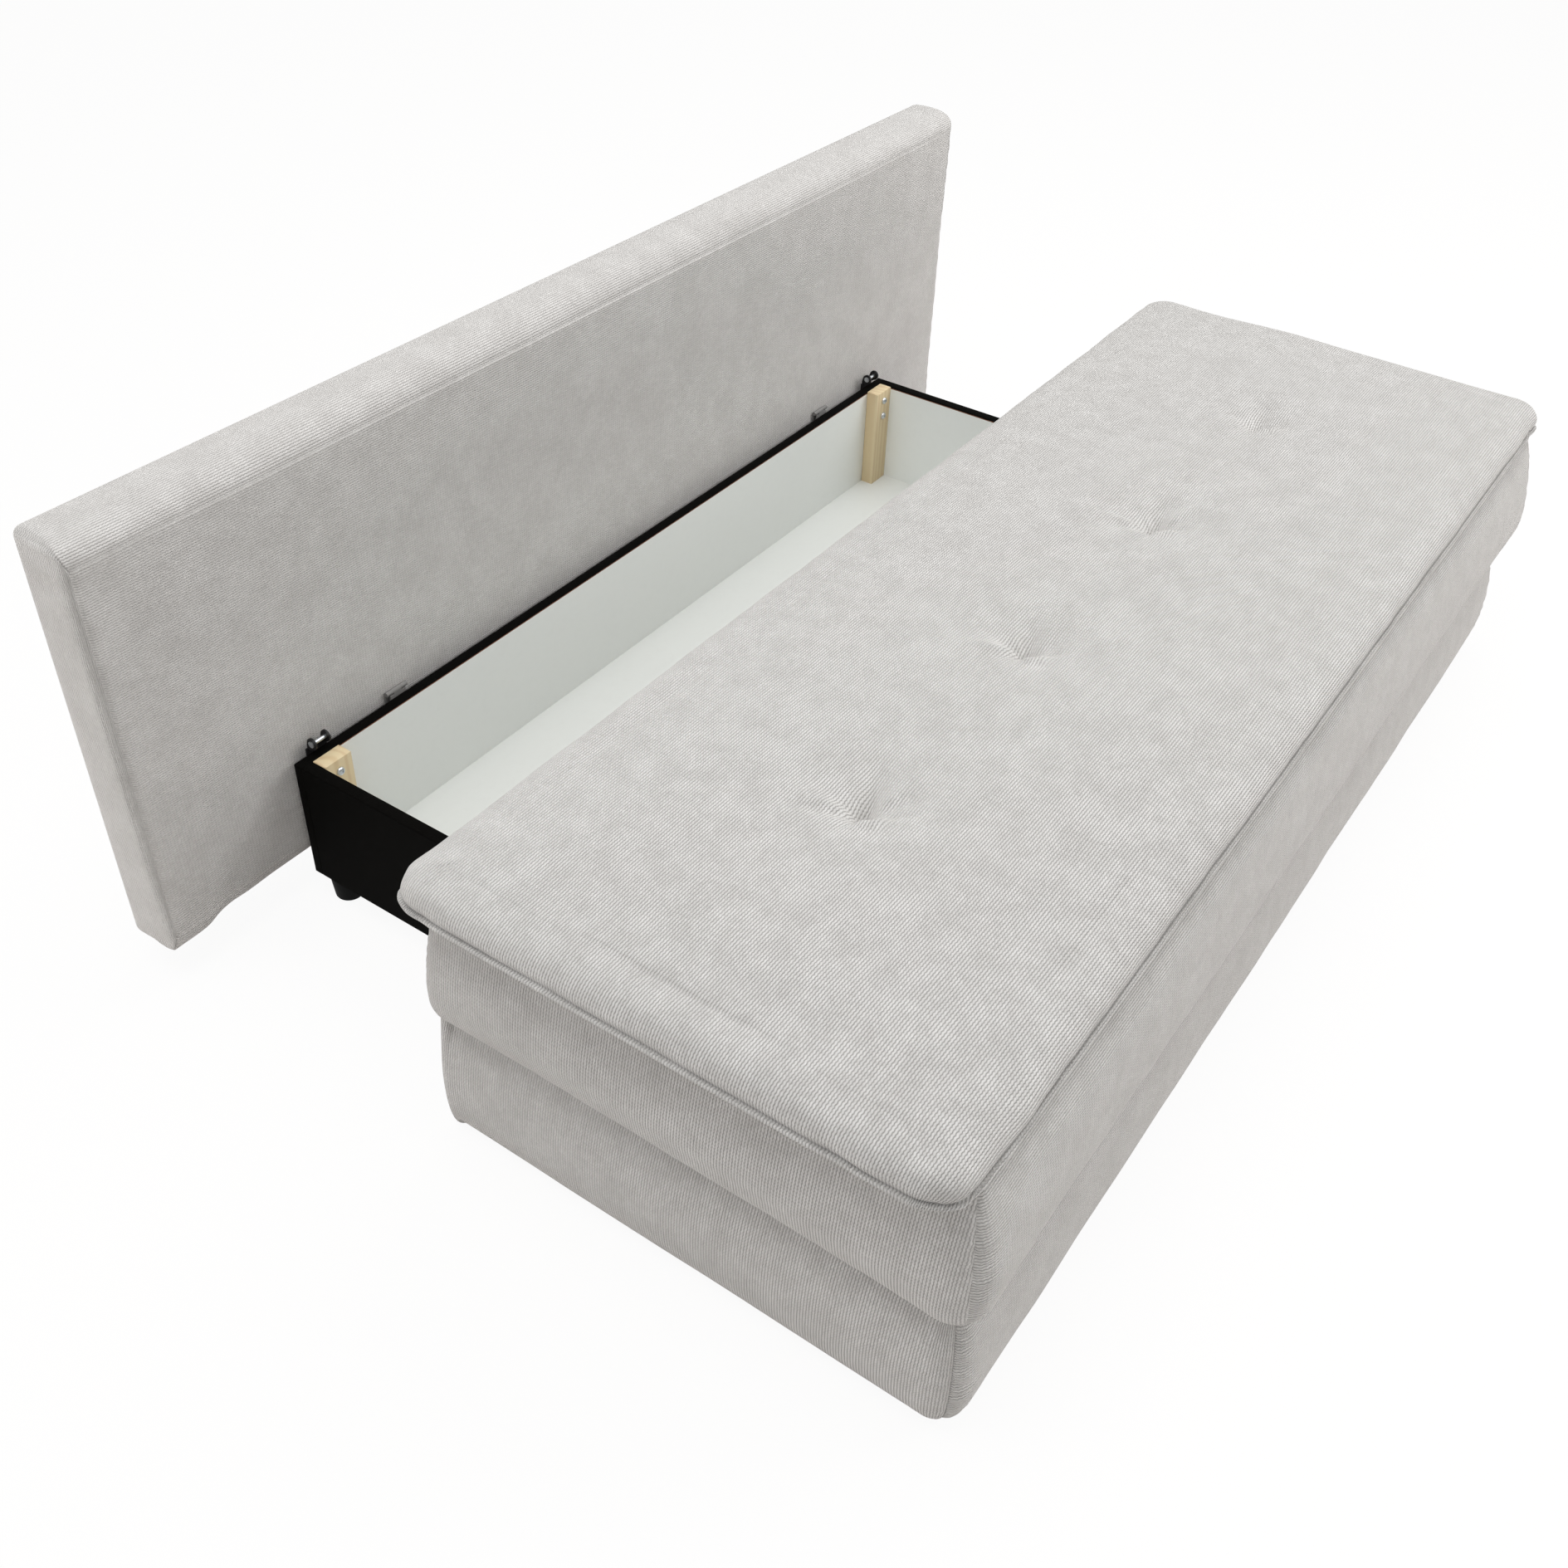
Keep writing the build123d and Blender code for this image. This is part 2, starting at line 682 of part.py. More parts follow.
def topper():
    """A thin pad with a flat lip round its foot, a crowned top and sewn tufts."""
    length, depth, y = topper_bounds()
    lip = Pos(0, y, mattress_top_height) * extrude(
        RectangleRounded(length, depth, topper_corner_radius), topper_lip_thickness
    )
    lip = fillet(lip.edges().filter_by(Plane.XY), topper_lip_thickness / 3)
    crown = pillow(
        length - 2 * topper_lip_width, depth - 2 * topper_lip_width, topper_thickness,
        topper_corner_radius - topper_lip_width, topper_crown_draw_in, topper_side_shares,
    )
    pad = lip + Pos(0, y, mattress_top_height) * crown
    ball_radius = (tuft_dish_radius ** 2 + tuft_dish_depth ** 2) / (2 * tuft_dish_depth)
    ball_z = topper_top - tuft_dish_depth + ball_radius
    seat_z = topper_top - tuft_dish_depth
    core = block(
        -length / 2 + topper_core_wall, length / 2 - topper_core_wall,
        y - depth / 2 + topper_core_wall, y + depth / 2 - topper_core_wall,
        mattress_top_height + topper_core_cap, seat_z - topper_core_cap,
    )
    for x, tuft_y in tuft_places():
        pad = pad - Pos(x, tuft_y, ball_z) * Sphere(ball_radius)
        pad = pad - rod(x, tuft_y, seat_z, button_radius, overrun, (0, 0, 1))
    save("topper_cover", [pad - core])
    save("topper_core", [core])
    buttons = []
    for x, tuft_y in tuft_places():
        button = rod(x, tuft_y, seat_z, button_radius, button_height, (0, 0, 1))
        buttons.append(fillet(button.edges().group_by(Axis.Z)[-1], button_edge))
    save("tuft_buttons", buttons)


def base_pads():
    """The lowest layer: padded panels on the front and both ends, mitred at the front corners."""
    rear = seat_rear - base_rear_inset
    front = seat_front + base_front_inset
    height = seam_height - base_floor_gap
    soft = pillow(
        2 * base_half_length, rear - front, height, base_corner_radius, base_draw_in, base_side_shares,
    )
    soft = Pos(0, (rear + front) / 2, base_floor_gap) * soft
    hollow = block(
        -frame_half_length, frame_half_length, frame_front, rear + overrun,
        base_floor_gap - overrun, seam_height + overrun,
    )
    ring = soft - hollow
    mitre_x = 2 * (base_half_length - frame_half_length)
    mitre_y = 2 * (frame_front - front)
    wedge_outline = Polyline(
        (-frame_half_length, frame_front), (frame_half_length, frame_front),
        (frame_half_length + mitre_x, frame_front - mitre_y),
        (-frame_half_length - mitre_x, frame_front - mitre_y), close=True,
    )
    wedge = extrude(make_face(wedge_outline), seam_height + overrun)
    sides = (ring - wedge).solids().sort_by(Axis.X)
    save("base_front_pad", [ring & wedge])
    save("base_left_pad", [sides[0]])
    save("base_right_pad", [sides[-1]])


def castor_places():
    """Castor middles in x and y."""
    x = board_inner - castor_plate_thickness - wheel_side_gap() - wheel_width / 2
    rear = frame_rear - castor_inset_y
    front = frame_front + castor_inset_y
    return [(sx * x, y) for sx in (-1, 1) for y in (rear, front)]


def wheel_side_gap():
    """The gap between a wheel's tread and a castor cheek."""
    return wheel_hub_side + soft_clearance


def castor_screw_places(y):
    """A castor plate's screws in y and z."""
    top = castor_plate_height + wheel_radius / 2 - castor_screw_top_inset
    offset = castor_plate_width / 4
    return [(y + way * offset, z) for way in (-1, 1) for z in (top, top - castor_screw_spacing)]


def castor_screws():
    """Screws that hold the castors to the side boards, for the +X side."""
    found = []
    for x, y in castor_places():
        if x > 0:
            for sy, sz in castor_screw_places(y):
                found.append(screw(
                    board_inner - castor_plate_thickness, sy, sz, castor_screw_radius, castor_screw_length,
                    castor_screw_head_radius, castor_screw_head_height, (1, 0, 0),
                ))
    return found


def seat_frame():
    """Boards, deck rails, cross rails and the deck."""
    screws = castor_screws()
    side = block(board_inner, frame_half_length, frame_front, frame_rear, board_floor_gap, deck_bottom)
    side = side - screws
    front = block(-board_inner, board_inner, frame_front, board_face, board_floor_gap, deck_bottom)
    save("seat_left_board", [mirror(side, about=Plane.YZ)])
    save("seat_right_board", [side])
    save("seat_front_board", [front])
    long_rail = block(
        -frame_half_length, frame_half_length, frame_rear - deck_rail_width, frame_rear, deck_bottom, deck_top,
    )
    front_rail = Pos(0, frame_front - frame_rear + deck_rail_width, 0) * long_rail
    save("deck_rails", [long_rail, front_rail])
    cross = []
    first_x = deck_rail_width / 2 - frame_half_length
    for i in range(cross_rail_count):
        x = first_x + i * cross_rail_spacing
        cross.append(block(
            x - deck_rail_width / 2, x + deck_rail_width / 2,
            frame_front + deck_rail_width, frame_rear - deck_rail_width, deck_bottom, deck_top,
        ))
    save("deck_cross_rails", cross)
    deck = block(-frame_half_length, frame_half_length, frame_front, frame_rear, deck_top, bed_bottom)
    save("seat_deck", [deck])


def seat_guides():
    """Runners, stop blocks and closing bumpers below the deck."""
    x_low = box_half + guide_clearance
    runner = block(
        x_low, x_low + runner_width, board_face, frame_rear, deck_bottom - runner_height, deck_bottom,
    )
    save("guide_runners", mirrored(runner))
    stop_x = 2 * cross_rail_spacing
    stop_front = inner_front + soft_clearance
    stop = block(
        stop_x - deck_rail_width / 2, stop_x + deck_rail_width / 2, stop_front, stop_front + stop_block_depth,
        deck_bottom - stop_block_height, deck_bottom,
    )
    save("stop_blocks", mirrored(stop))
    bumper_z = (foot_height + rim) / 2
    bumper = rod(bumper_offset, board_face, bumper_z, bumper_radius, bumper_thickness, (0, 1, 0))
    save("closing_bumpers", mirrored(bumper))


def seat_hooks():
    """Forked hooks behind the deck that run onto the catch pins as the seat closes."""
    pin_y = box_rear - catch_pin_forward - seat_travel
    pin_z = rim + catch_pin_rise
    low = pin_z - hook_height / 2
    plate = block(
        catch_offset - hook_width / 2, catch_offset + hook_width / 2,
        frame_rear + hook_flange_thickness, frame_rear + hook_length, low, low + hook_height,
    )
    flange = block(
        catch_offset - hook_flange_width / 2, catch_offset + hook_flange_width / 2,
        frame_rear, frame_rear + hook_flange_thickness, low, low + hook_height,
    )
    slot_radius = catch_pin_radius + hook_slot_clearance
    start = catch_offset - hook_width / 2
    slot = block(start, start + hook_width, pin_y, frame_rear + hook_length, pin_z - slot_radius, pin_z + slot_radius)
    slot_end = rod(start, pin_y, pin_z, slot_radius, hook_width, (1, 0, 0))
    save("seat_hooks", mirrored(plate + flange - slot - slot_end))


# Castors

def castors():
    """Fixed castors on the side boards: brackets, axles, screws and wheels."""
    x, rear_y = castor_places()[-2]
    plate_x = board_inner - castor_plate_thickness
    cheek_x = x - wheel_width / 2 - wheel_side_gap() - castor_plate_thickness
    half = castor_plate_width / 2
    roof_z = 2 * wheel_radius + castor_roof_gap
    low = wheel_radius - castor_axle_head_radius
    top = castor_plate_height + wheel_radius / 2
    plate = block(plate_x, board_inner, rear_y - half, rear_y + half, low, top)
    cheek = block(
        cheek_x, cheek_x + castor_plate_thickness, rear_y - half / 2, rear_y + half / 2, low, roof_z,
    )
    roof = block(cheek_x, board_inner, rear_y - half / 2, rear_y + half / 2, roof_z, roof_z + castor_plate_thickness)
    axle_length = board_inner - cheek_x
    axle = rod(cheek_x, rear_y, wheel_radius, castor_axle_radius, axle_length, (1, 0, 0))
    head = rod(cheek_x, rear_y, wheel_radius, castor_axle_head_radius, castor_axle_head_height, (-1, 0, 0))
    bracket = plate + cheek + roof - axle - [
        s for s in castor_screws() if abs(s.center().Y - rear_y) < castor_plate_width
    ]
    tread = rod(x - wheel_width / 2, rear_y, wheel_radius, wheel_radius, wheel_width, (1, 0, 0))
    tread = fillet(tread.edges(), wheel_groove)
    hub_width = wheel_width + 2 * wheel_hub_side
    hub = rod(x - hub_width / 2, rear_y, wheel_radius, wheel_hub_radius, hub_width, (1, 0, 0))
    bore_radius = castor_axle_radius + wheel_axle_clearance
    bore = rod(x - hub_width / 2, rear_y, wheel_radius, bore_radius, hub_width, (1, 0, 0))
    wheel = tread + hub - bore
    to_front = Pos(0, castor_places()[-1][1] - rear_y, 0)
    brackets = mirrored(bracket) + mirrored(to_front * bracket)
    axles = mirrored(axle + head) + mirrored(to_front * (axle + head))
    save("castor_brackets", brackets)
    save("castor_axles", axles)
    save("castor_screws", [s for one in castor_screws() for s in mirrored(one)])
    right_rear, left_rear = mirrored(wheel)
    right_front, left_front = mirrored(to_front * wheel)
    save("wheel_rear_right", [right_rear])
    save("wheel_rear_left", [left_rear])
    save("wheel_front_right", [right_front])
    save("wheel_front_left", [left_front])


storage_box()
feet()
catch_brackets()
strap_guides()
buffers()
lift_straps()
hinge_leaves()
backrest()
mattress()
topper()
base_pads()
seat_frame()
seat_guides()
seat_hooks()
castors()
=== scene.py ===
"""Looks of the storage sofa bed: ribbed upholstery, a black storage box, pine, zinc and castors.

The seat stands rolled out in front of the open box, with the backrest upright behind it.
Lengths are metres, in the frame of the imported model.
"""

import logging
import math
from dataclasses import dataclass, field
from enum import Enum

import bmesh
import bpy
import numpy as np
from mathutils import Matrix, Vector


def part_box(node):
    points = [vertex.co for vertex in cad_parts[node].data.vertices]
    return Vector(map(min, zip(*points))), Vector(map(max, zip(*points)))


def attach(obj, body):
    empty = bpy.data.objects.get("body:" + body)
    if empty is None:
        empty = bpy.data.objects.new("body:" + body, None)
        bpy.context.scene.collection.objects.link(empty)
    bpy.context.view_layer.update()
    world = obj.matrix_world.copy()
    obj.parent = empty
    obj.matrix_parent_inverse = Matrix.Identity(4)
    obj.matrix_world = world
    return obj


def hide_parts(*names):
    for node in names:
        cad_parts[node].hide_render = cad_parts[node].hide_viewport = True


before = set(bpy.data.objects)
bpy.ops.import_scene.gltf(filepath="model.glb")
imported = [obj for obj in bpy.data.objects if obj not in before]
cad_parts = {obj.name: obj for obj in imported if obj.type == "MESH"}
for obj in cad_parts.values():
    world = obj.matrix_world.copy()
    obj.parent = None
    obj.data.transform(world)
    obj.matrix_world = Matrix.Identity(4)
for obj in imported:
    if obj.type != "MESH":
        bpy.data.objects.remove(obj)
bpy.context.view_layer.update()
LOG = logging.getLogger("storage_sofa_bed")

MM = 0.001
CLOTH_UV = "cloth"
# Places nearer to each other than this count as one.
TOUCH = 1e-6
SHARP_ANGLE = math.radians(35)
THREAD_RADIUS = 0.00042
# A stitch's length as a share of the way to the next one.
STITCH_SHARE = 0.74


# Node helpers


class Graph:
    """Adds nodes to one node tree and links them."""

    def __init__(self, tree: bpy.types.NodeTree) -> None:
        """Start on a tree.

        Args:
            tree: The shader or geometry tree that takes the nodes.
        """
        self.tree = tree

    def fill(self, node: bpy.types.Node, inputs: dict) -> None:
        """Give some of a node's inputs a value or a link.

        Args:
            node: The node.
            inputs: Values or sockets, by the input's name or number.
        """
        for key, value in inputs.items():
            if isinstance(value, bpy.types.NodeSocket):
                self.tree.links.new(value, node.inputs[key])
            else:
                node.inputs[key].default_value = value

    def node(self, kind: str, inputs: dict | None = None, **settings: object) -> bpy.types.Node:
        """Add a node.

        Args:
            kind: The node's type name.
            inputs: Values or sockets for its inputs, by name or number.
            settings: Its other settings.

        Returns:
            The new node.
        """
        made = self.tree.nodes.new(kind)
        for name, value in settings.items():
            setattr(made, name, value)
        self.fill(made, inputs or {})
        return made

    def maths(self, operation: str, *values: object, clamp: bool = False) -> bpy.types.NodeSocket:
        """Add a Math node.

        Args:
            operation: The Math node's operation.
            values: Numbers or sockets for its inputs, in order.
            clamp: Whether the result is kept from 0 to 1.

        Returns:
            The node's result.
        """
        inputs = dict(enumerate(values))
        return self.node("ShaderNodeMath", inputs, operation=operation, use_clamp=clamp).outputs[0]

    def ramp(self, value: bpy.types.NodeSocket, low: float, high: float, to_low: float = 0.0,
             to_high: float = 1.0) -> bpy.types.NodeSocket:
        """Map a value from one range to another, clamped.

        Args:
            value: The value to map.
            low: Start of its range.
            high: End of its range.
            to_low: What the start becomes.
            to_high: What the end becomes.

        Returns:
            The mapped value.
        """
        inputs = {"Value": value, "From Min": low, "From Max": high, "To Min": to_low, "To Max": to_high}
        return self.node("ShaderNodeMapRange", inputs, interpolation_type="SMOOTHSTEP").outputs[0]

    def noise(self, vector: bpy.types.NodeSocket, scale: object, detail: float = 3.0,
              roughness: float = 0.55) -> bpy.types.NodeSocket:
        """Noise on a vector.

        Args:
            vector: Where the noise is read.
            scale: Lumps per metre, as a number or a socket.
            detail: How many finer layers it has.
            roughness: How strong the finer layers are.

        Returns:
            The noise, from 0 to 1.
        """
        inputs = {"Vector": vector, "Scale": scale, "Detail": detail, "Roughness": roughness}
        return self.node("ShaderNodeTexNoise", inputs).outputs["Fac"]

    def stretched(self, vector: bpy.types.NodeSocket, scale: tuple) -> bpy.types.NodeSocket:
        """Scale a vector along its axes.

        Args:
            vector: The vector.
            scale: Its factor along each axis.

        Returns:
            The scaled vector.
        """
        return self.node("ShaderNodeMapping", {"Vector": vector, "Scale": scale}).outputs[0]

    def mixed(self, share: object, first: object, second: object,
              blend: str = "MIX") -> bpy.types.NodeSocket:
        """Mix two colours.

        Args:
            share: How much of the second one.
            first: A colour or socket.
            second: A colour or socket.
            blend: The blend type.

        Returns:
            The mixed colour.
        """
        return self.node(
            "ShaderNodeMix", {0: share, 6: first, 7: second}, data_type="RGBA", blend_type=blend
        ).outputs[2]

    def place(self, kind: str = "Object") -> bpy.types.NodeSocket:
        """Where a point is, in its object's own axes or another kind of coordinates."""
        return self.node("ShaderNodeTexCoord").outputs[kind]

    def seen(self) -> bpy.types.NodeSocket:
        """1 for a ray from the camera or off a glossy surface, and 0 for any other."""
        path = self.node("ShaderNodeLightPath").outputs
        return self.maths("MAXIMUM", path["Is Camera Ray"], path["Is Glossy Ray"])


def rgb(red: float, green: float, blue: float) -> tuple:
    """A colour with full alpha."""
    return (red, green, blue, 1.0)


def darker(colour: tuple, share: float) -> tuple:
    """A colour at a share of its brightness."""
    return rgb(*(part * share for part in colour[:3]))


class ShaderGroups:
    """The effects that several materials share, each built once."""

    def __init__(self) -> None:
        """Build every group."""
        self.cord = self._cord()
        self.nap = self._nap()
        self.grain = self._grain()
        self.scuff = self._scuff()

    @staticmethod
    def _open(name: str, inputs: dict[str, float], outputs: list[str]) -> tuple:
        """Start a group that takes a vector and some numbers, and gives numbers.

        Args:
            name: The group's name.
            inputs: The default of each number, by name.
            outputs: Names of the results.

        Returns:
            The group's graph, the sockets of its inputs by name, and its output node.
        """
        tree = bpy.data.node_groups.new(name, "ShaderNodeTree")
        tree.interface.new_socket("Vector", in_out="INPUT", socket_type="NodeSocketVector")
        for label, default in inputs.items():
            socket = tree.interface.new_socket(label, in_out="INPUT", socket_type="NodeSocketFloat")
            socket.default_value = default
        for label in outputs:
            tree.interface.new_socket(label, in_out="OUTPUT", socket_type="NodeSocketFloat")
        graph = Graph(tree)
        return graph, graph.node("NodeGroupInput").outputs, graph.node("NodeGroupOutput")

    def _cord(self) -> bpy.types.NodeTree:
        """Fine cord: wavy ribs along the first coordinate, each a row of small beads, with a mask for painted
        shade in the grooves between the ribs.

        Returns:
            The group's tree.
        """
        defaults = {"Rib Pitch": 0.0037, "Bead Pitch": 0.0051, "Bead Depth": 0.20, "Sway": 0.10}
        g, given, leave = self._open("ribbed cord", defaults, ["Height", "Groove", "Thread"])
        parts = g.node("ShaderNodeSeparateXYZ", {0: given["Vector"]}).outputs
        drift = g.noise(given["Vector"], 90.0, 2.0)
        along = g.maths("ADD", g.maths("DIVIDE", parts[0], given["Bead Pitch"]), drift)
        turn = g.maths("MULTIPLY", along, 2 * math.pi)
        sway = g.maths("MULTIPLY", g.maths("SINE", turn), given["Sway"])
        across = g.maths("ADD", g.maths("DIVIDE", parts[1], given["Rib Pitch"]), sway)
        rib = g.maths("ABSOLUTE", g.maths("SINE", g.maths("MULTIPLY", across, math.pi)))
        bead = g.maths("ABSOLUTE", g.maths("SINE", g.maths("MULTIPLY", along, math.pi)))
        dip = g.maths("MULTIPLY", g.maths("SUBTRACT", 1.0, bead), given["Bead Depth"])
        height = g.maths("MULTIPLY", g.maths("POWER", rib, 0.6), g.maths("SUBTRACT", 1.0, dip))
        # Mask for painted shade: 1 deep in the grooves between the ribs, 0 on their crests.
        groove = g.ramp(height, 0.2, 0.85, 1.0, 0.0)
        cell = g.node("ShaderNodeCombineXYZ", {0: g.maths("FLOOR", along), 1: g.maths("FLOOR", across)})
        spot = g.node("ShaderNodeTexWhiteNoise", {"Vector": cell.outputs[0]}, noise_dimensions="2D")
        g.fill(leave, {"Height": height, "Groove": groove, "Thread": spot.outputs["Value"]})
        return g.tree

    def _nap(self) -> bpy.types.NodeTree:
        """Uneven nap: soft light and dark patches of painted sheen where the pile lies unevenly, with fine
        fibres.

        Returns:
            The group's tree.
        """
        g, given, leave = self._open("nap", {"Patches": 16.0}, ["Shade", "Fibre"])
        patch = g.noise(given["Vector"], given["Patches"], 5.0, 0.62)
        fine = g.noise(given["Vector"], 120.0, 3.0, 0.7)
        fibre = g.noise(given["Vector"], 900.0, 2.0, 0.8)
        shade = g.maths("ADD", g.maths("MULTIPLY", patch, 0.62), g.maths("MULTIPLY", fine, 0.38))
        g.fill(leave, {"Shade": g.ramp(shade, 0.34, 0.66), "Fibre": fibre})
        return g.tree

    def _grain(self) -> bpy.types.NodeTree:
        """Softwood grain along the vector's third axis.

        Returns:
            The group's tree.
        """
        g, given, leave = self._open("wood grain", {"Rings": 90.0}, ["Grain", "Pores"])
        long = g.stretched(given["Vector"], (1.0, 1.0, 0.045))
        parts = g.node("ShaderNodeSeparateXYZ", {0: long}).outputs
        sway = g.maths("MULTIPLY", g.noise(long, 9.0, 2.0), 0.11)
        ring = g.maths("ADD", g.maths("ADD", parts[0], g.maths("MULTIPLY", parts[1], 0.35)), sway)
        wave = g.maths("SINE", g.maths("MULTIPLY", g.maths("MULTIPLY", ring, given["Rings"]), 2 * math.pi))
        pores = g.noise(g.stretched(given["Vector"], (1.0, 1.0, 0.02)), 1400.0, 2.0, 0.7)
        g.fill(leave, {"Grain": g.ramp(wave, -0.4, 1.0), "Pores": pores})
        return g.tree

    def _scuff(self) -> bpy.types.NodeTree:
        """Dust and fine rubbing, for hard finishes.

        Returns:
            The group's tree.
        """
        g, given, leave = self._open("scuff", {"Size": 60.0}, ["Dust", "Scratch"])
        dust = g.noise(given["Vector"], given["Size"], 6.0, 0.7)
        lines = g.noise(g.stretched(given["Vector"], (1.0, 14.0, 3.0)), 160.0, 3.0, 0.75)
        g.fill(leave, {"Dust": g.ramp(dust, 0.45, 0.75), "Scratch": g.ramp(lines, 0.5, 0.72)})
        return g.tree


GROUPS = ShaderGroups()


class Axis(Enum):
    """The direction that a wood finish's grain runs in."""

    X = (0.0, math.pi / 2, 0.0)
    Y = (math.pi / 2, 0.0, 0.0)
    Z = (0.0, 0.0, 0.0)


def start_material(name: str) -> tuple:
    """Start a material with an empty Principled shader.

    Args:
        name: The material's name.

    Returns:
        The material, its graph and its shader node.
    """
    material = bpy.data.materials.new(name)
    material.use_nodes = True
    graph = Graph(material.node_tree)
    return material, graph, material.node_tree.nodes["Principled BSDF"]


def add_bump(graph: Graph, shader: bpy.types.Node, height: bpy.types.NodeSocket, distance: float) -> None:
    """Give a shader a bump.

    Args:
        graph: The material's graph.
        shader: Its Principled shader.
        height: The height, from 0 to 1.
        distance: How deep the bump is, in metres.
    """
    bump = graph.node("ShaderNodeBump", {"Height": height, "Distance": distance, "Strength": 1.0})
    graph.fill(shader, {"Normal": bump.outputs[0]})


@dataclass(frozen=True)
class CordFabric:
    """Light warm grey upholstery with fine beaded ribs, painted shade in the grooves between them and painted
    sheen in random patches.
    """

    name: str = "ribbed_upholstery"
    light: tuple = rgb(0.752, 0.740, 0.722)
    dark: tuple = rgb(0.610, 0.596, 0.577)
    # Colour of the painted shade in the grooves between the ribs; random beads are also tinted towards it.
    groove: tuple = rgb(0.300, 0.288, 0.272)
    rib_pitch: float = 0.00378
    bead_pitch: float = 0.0051
    patches: float = 26.0
    rib_depth: float = 0.0015
    # How strongly the grooves are darkened with painted shade.
    groove_shade_strength: float = 0.72
    thread_contrast: float = 0.14
    fibre_share: float = 0.35
    roughness: tuple = (0.82, 0.95)
    specular: float = 0.25
    sheen: float = 1.0
    sheen_roughness: float = 0.50
    sheen_tint: tuple = rgb(1.0, 0.975, 0.945)

    def build(self) -> bpy.types.Material:
        """Make the material.

        Returns:
            The material.
        """
        material, g, shader = start_material(self.name)
        cloth = g.node("ShaderNodeUVMap", uv_map=CLOTH_UV).outputs[0]
        pitches = {"Vector": cloth, "Rib Pitch": self.rib_pitch, "Bead Pitch": self.bead_pitch}
        cord = g.node("ShaderNodeGroup", pitches, node_tree=GROUPS.cord).outputs
        spots = {"Vector": g.place(), "Patches": self.patches}
        nap = g.node("ShaderNodeGroup", spots, node_tree=GROUPS.nap).outputs
        # Painted sheen: random patches of the nap are mixed between the dark and light colours.
        body = g.mixed(nap["Shade"], self.dark, self.light)
        body = g.mixed(g.maths("MULTIPLY", cord["Thread"], self.thread_contrast), body, self.groove)
        # Painted shade: the grooves between the ribs are mixed towards the groove colour.
        body = g.mixed(g.maths("MULTIPLY", cord["Groove"], self.groove_shade_strength), body, self.groove)
        g.fill(shader, {
            "Base Color": body, "Roughness": g.ramp(nap["Fibre"], 0.2, 0.8, *self.roughness),
            "Specular IOR Level": self.specular, "Sheen Weight": self.sheen,
            "Sheen Roughness": self.sheen_roughness, "Sheen Tint": self.sheen_tint,
        })
        fibre = g.maths("MULTIPLY", nap["Fibre"], self.fibre_share)
        add_bump(g, shader, g.maths("ADD", cord["Height"], fibre), self.rib_depth)
        return material


@dataclass(frozen=True)
class Thread:
    """Sewing thread in the upholstery's colour."""

    name: str = "seam_thread"
    colour: tuple = rgb(0.60, 0.585, 0.565)
    shadow: float = 0.7
    roughness: float = 0.75
    twist_scale: float = 1800.0
    twist_depth: float = 0.0002

    def build(self) -> bpy.types.Material:
        """Make the material.

        Returns:
            The material.
        """
        material, g, shader = start_material(self.name)
        twist = g.noise(g.place(), self.twist_scale, 2.0)
        body = g.mixed(twist, self.colour, darker(self.colour, self.shadow))
        g.fill(shader, {"Base Color": body, "Roughness": self.roughness})
        add_bump(g, shader, twist, self.twist_depth)
        return material


@dataclass(frozen=True)
class Softwood:
    """Planed pine, or plywood faces, with grain along one axis."""

    name: str
    axis: Axis
    pale: tuple = rgb(0.80, 0.66, 0.42)
    ring: tuple = rgb(0.66, 0.47, 0.25)
    rings: float = 70.0
    contrast: float = 0.6
    tone_scale: float = 14.0
    tone_share: float = 0.35
    shadow: float = 0.8
    pore_share: float = 0.3
    roughness: tuple = (0.62, 0.5)
    relief: float = 0.00015

    def build(self) -> bpy.types.Material:
        """Make the material.

        Returns:
            The material.
        """
        material, g, shader = start_material(self.name)
        turned = g.node("ShaderNodeMapping", {"Vector": g.place(), "Rotation": self.axis.value}).outputs[0]
        rings = {"Vector": turned, "Rings": self.rings}
        grain = g.node("ShaderNodeGroup", rings, node_tree=GROUPS.grain).outputs
        body = g.mixed(g.maths("MULTIPLY", grain["Grain"], self.contrast), self.pale, self.ring)
        tone = g.noise(g.stretched(turned, (1.0, 1.0, 0.1)), self.tone_scale)
        tone = g.maths("MULTIPLY", tone, self.tone_share)
        body = g.mixed(tone, body, darker(self.pale, self.shadow))
        body = g.mixed(g.ramp(grain["Pores"], 0.62, 0.8, 0.0, self.pore_share), body, self.ring)
        rough = g.ramp(grain["Grain"], 0.0, 1.0, *self.roughness)
        g.fill(shader, {"Base Color": body, "Roughness": rough})
        height = g.maths("ADD", g.maths("MULTIPLY", grain["Grain"], 0.6), grain["Pores"])
        add_bump(g, shader, height, self.relief)
        return material


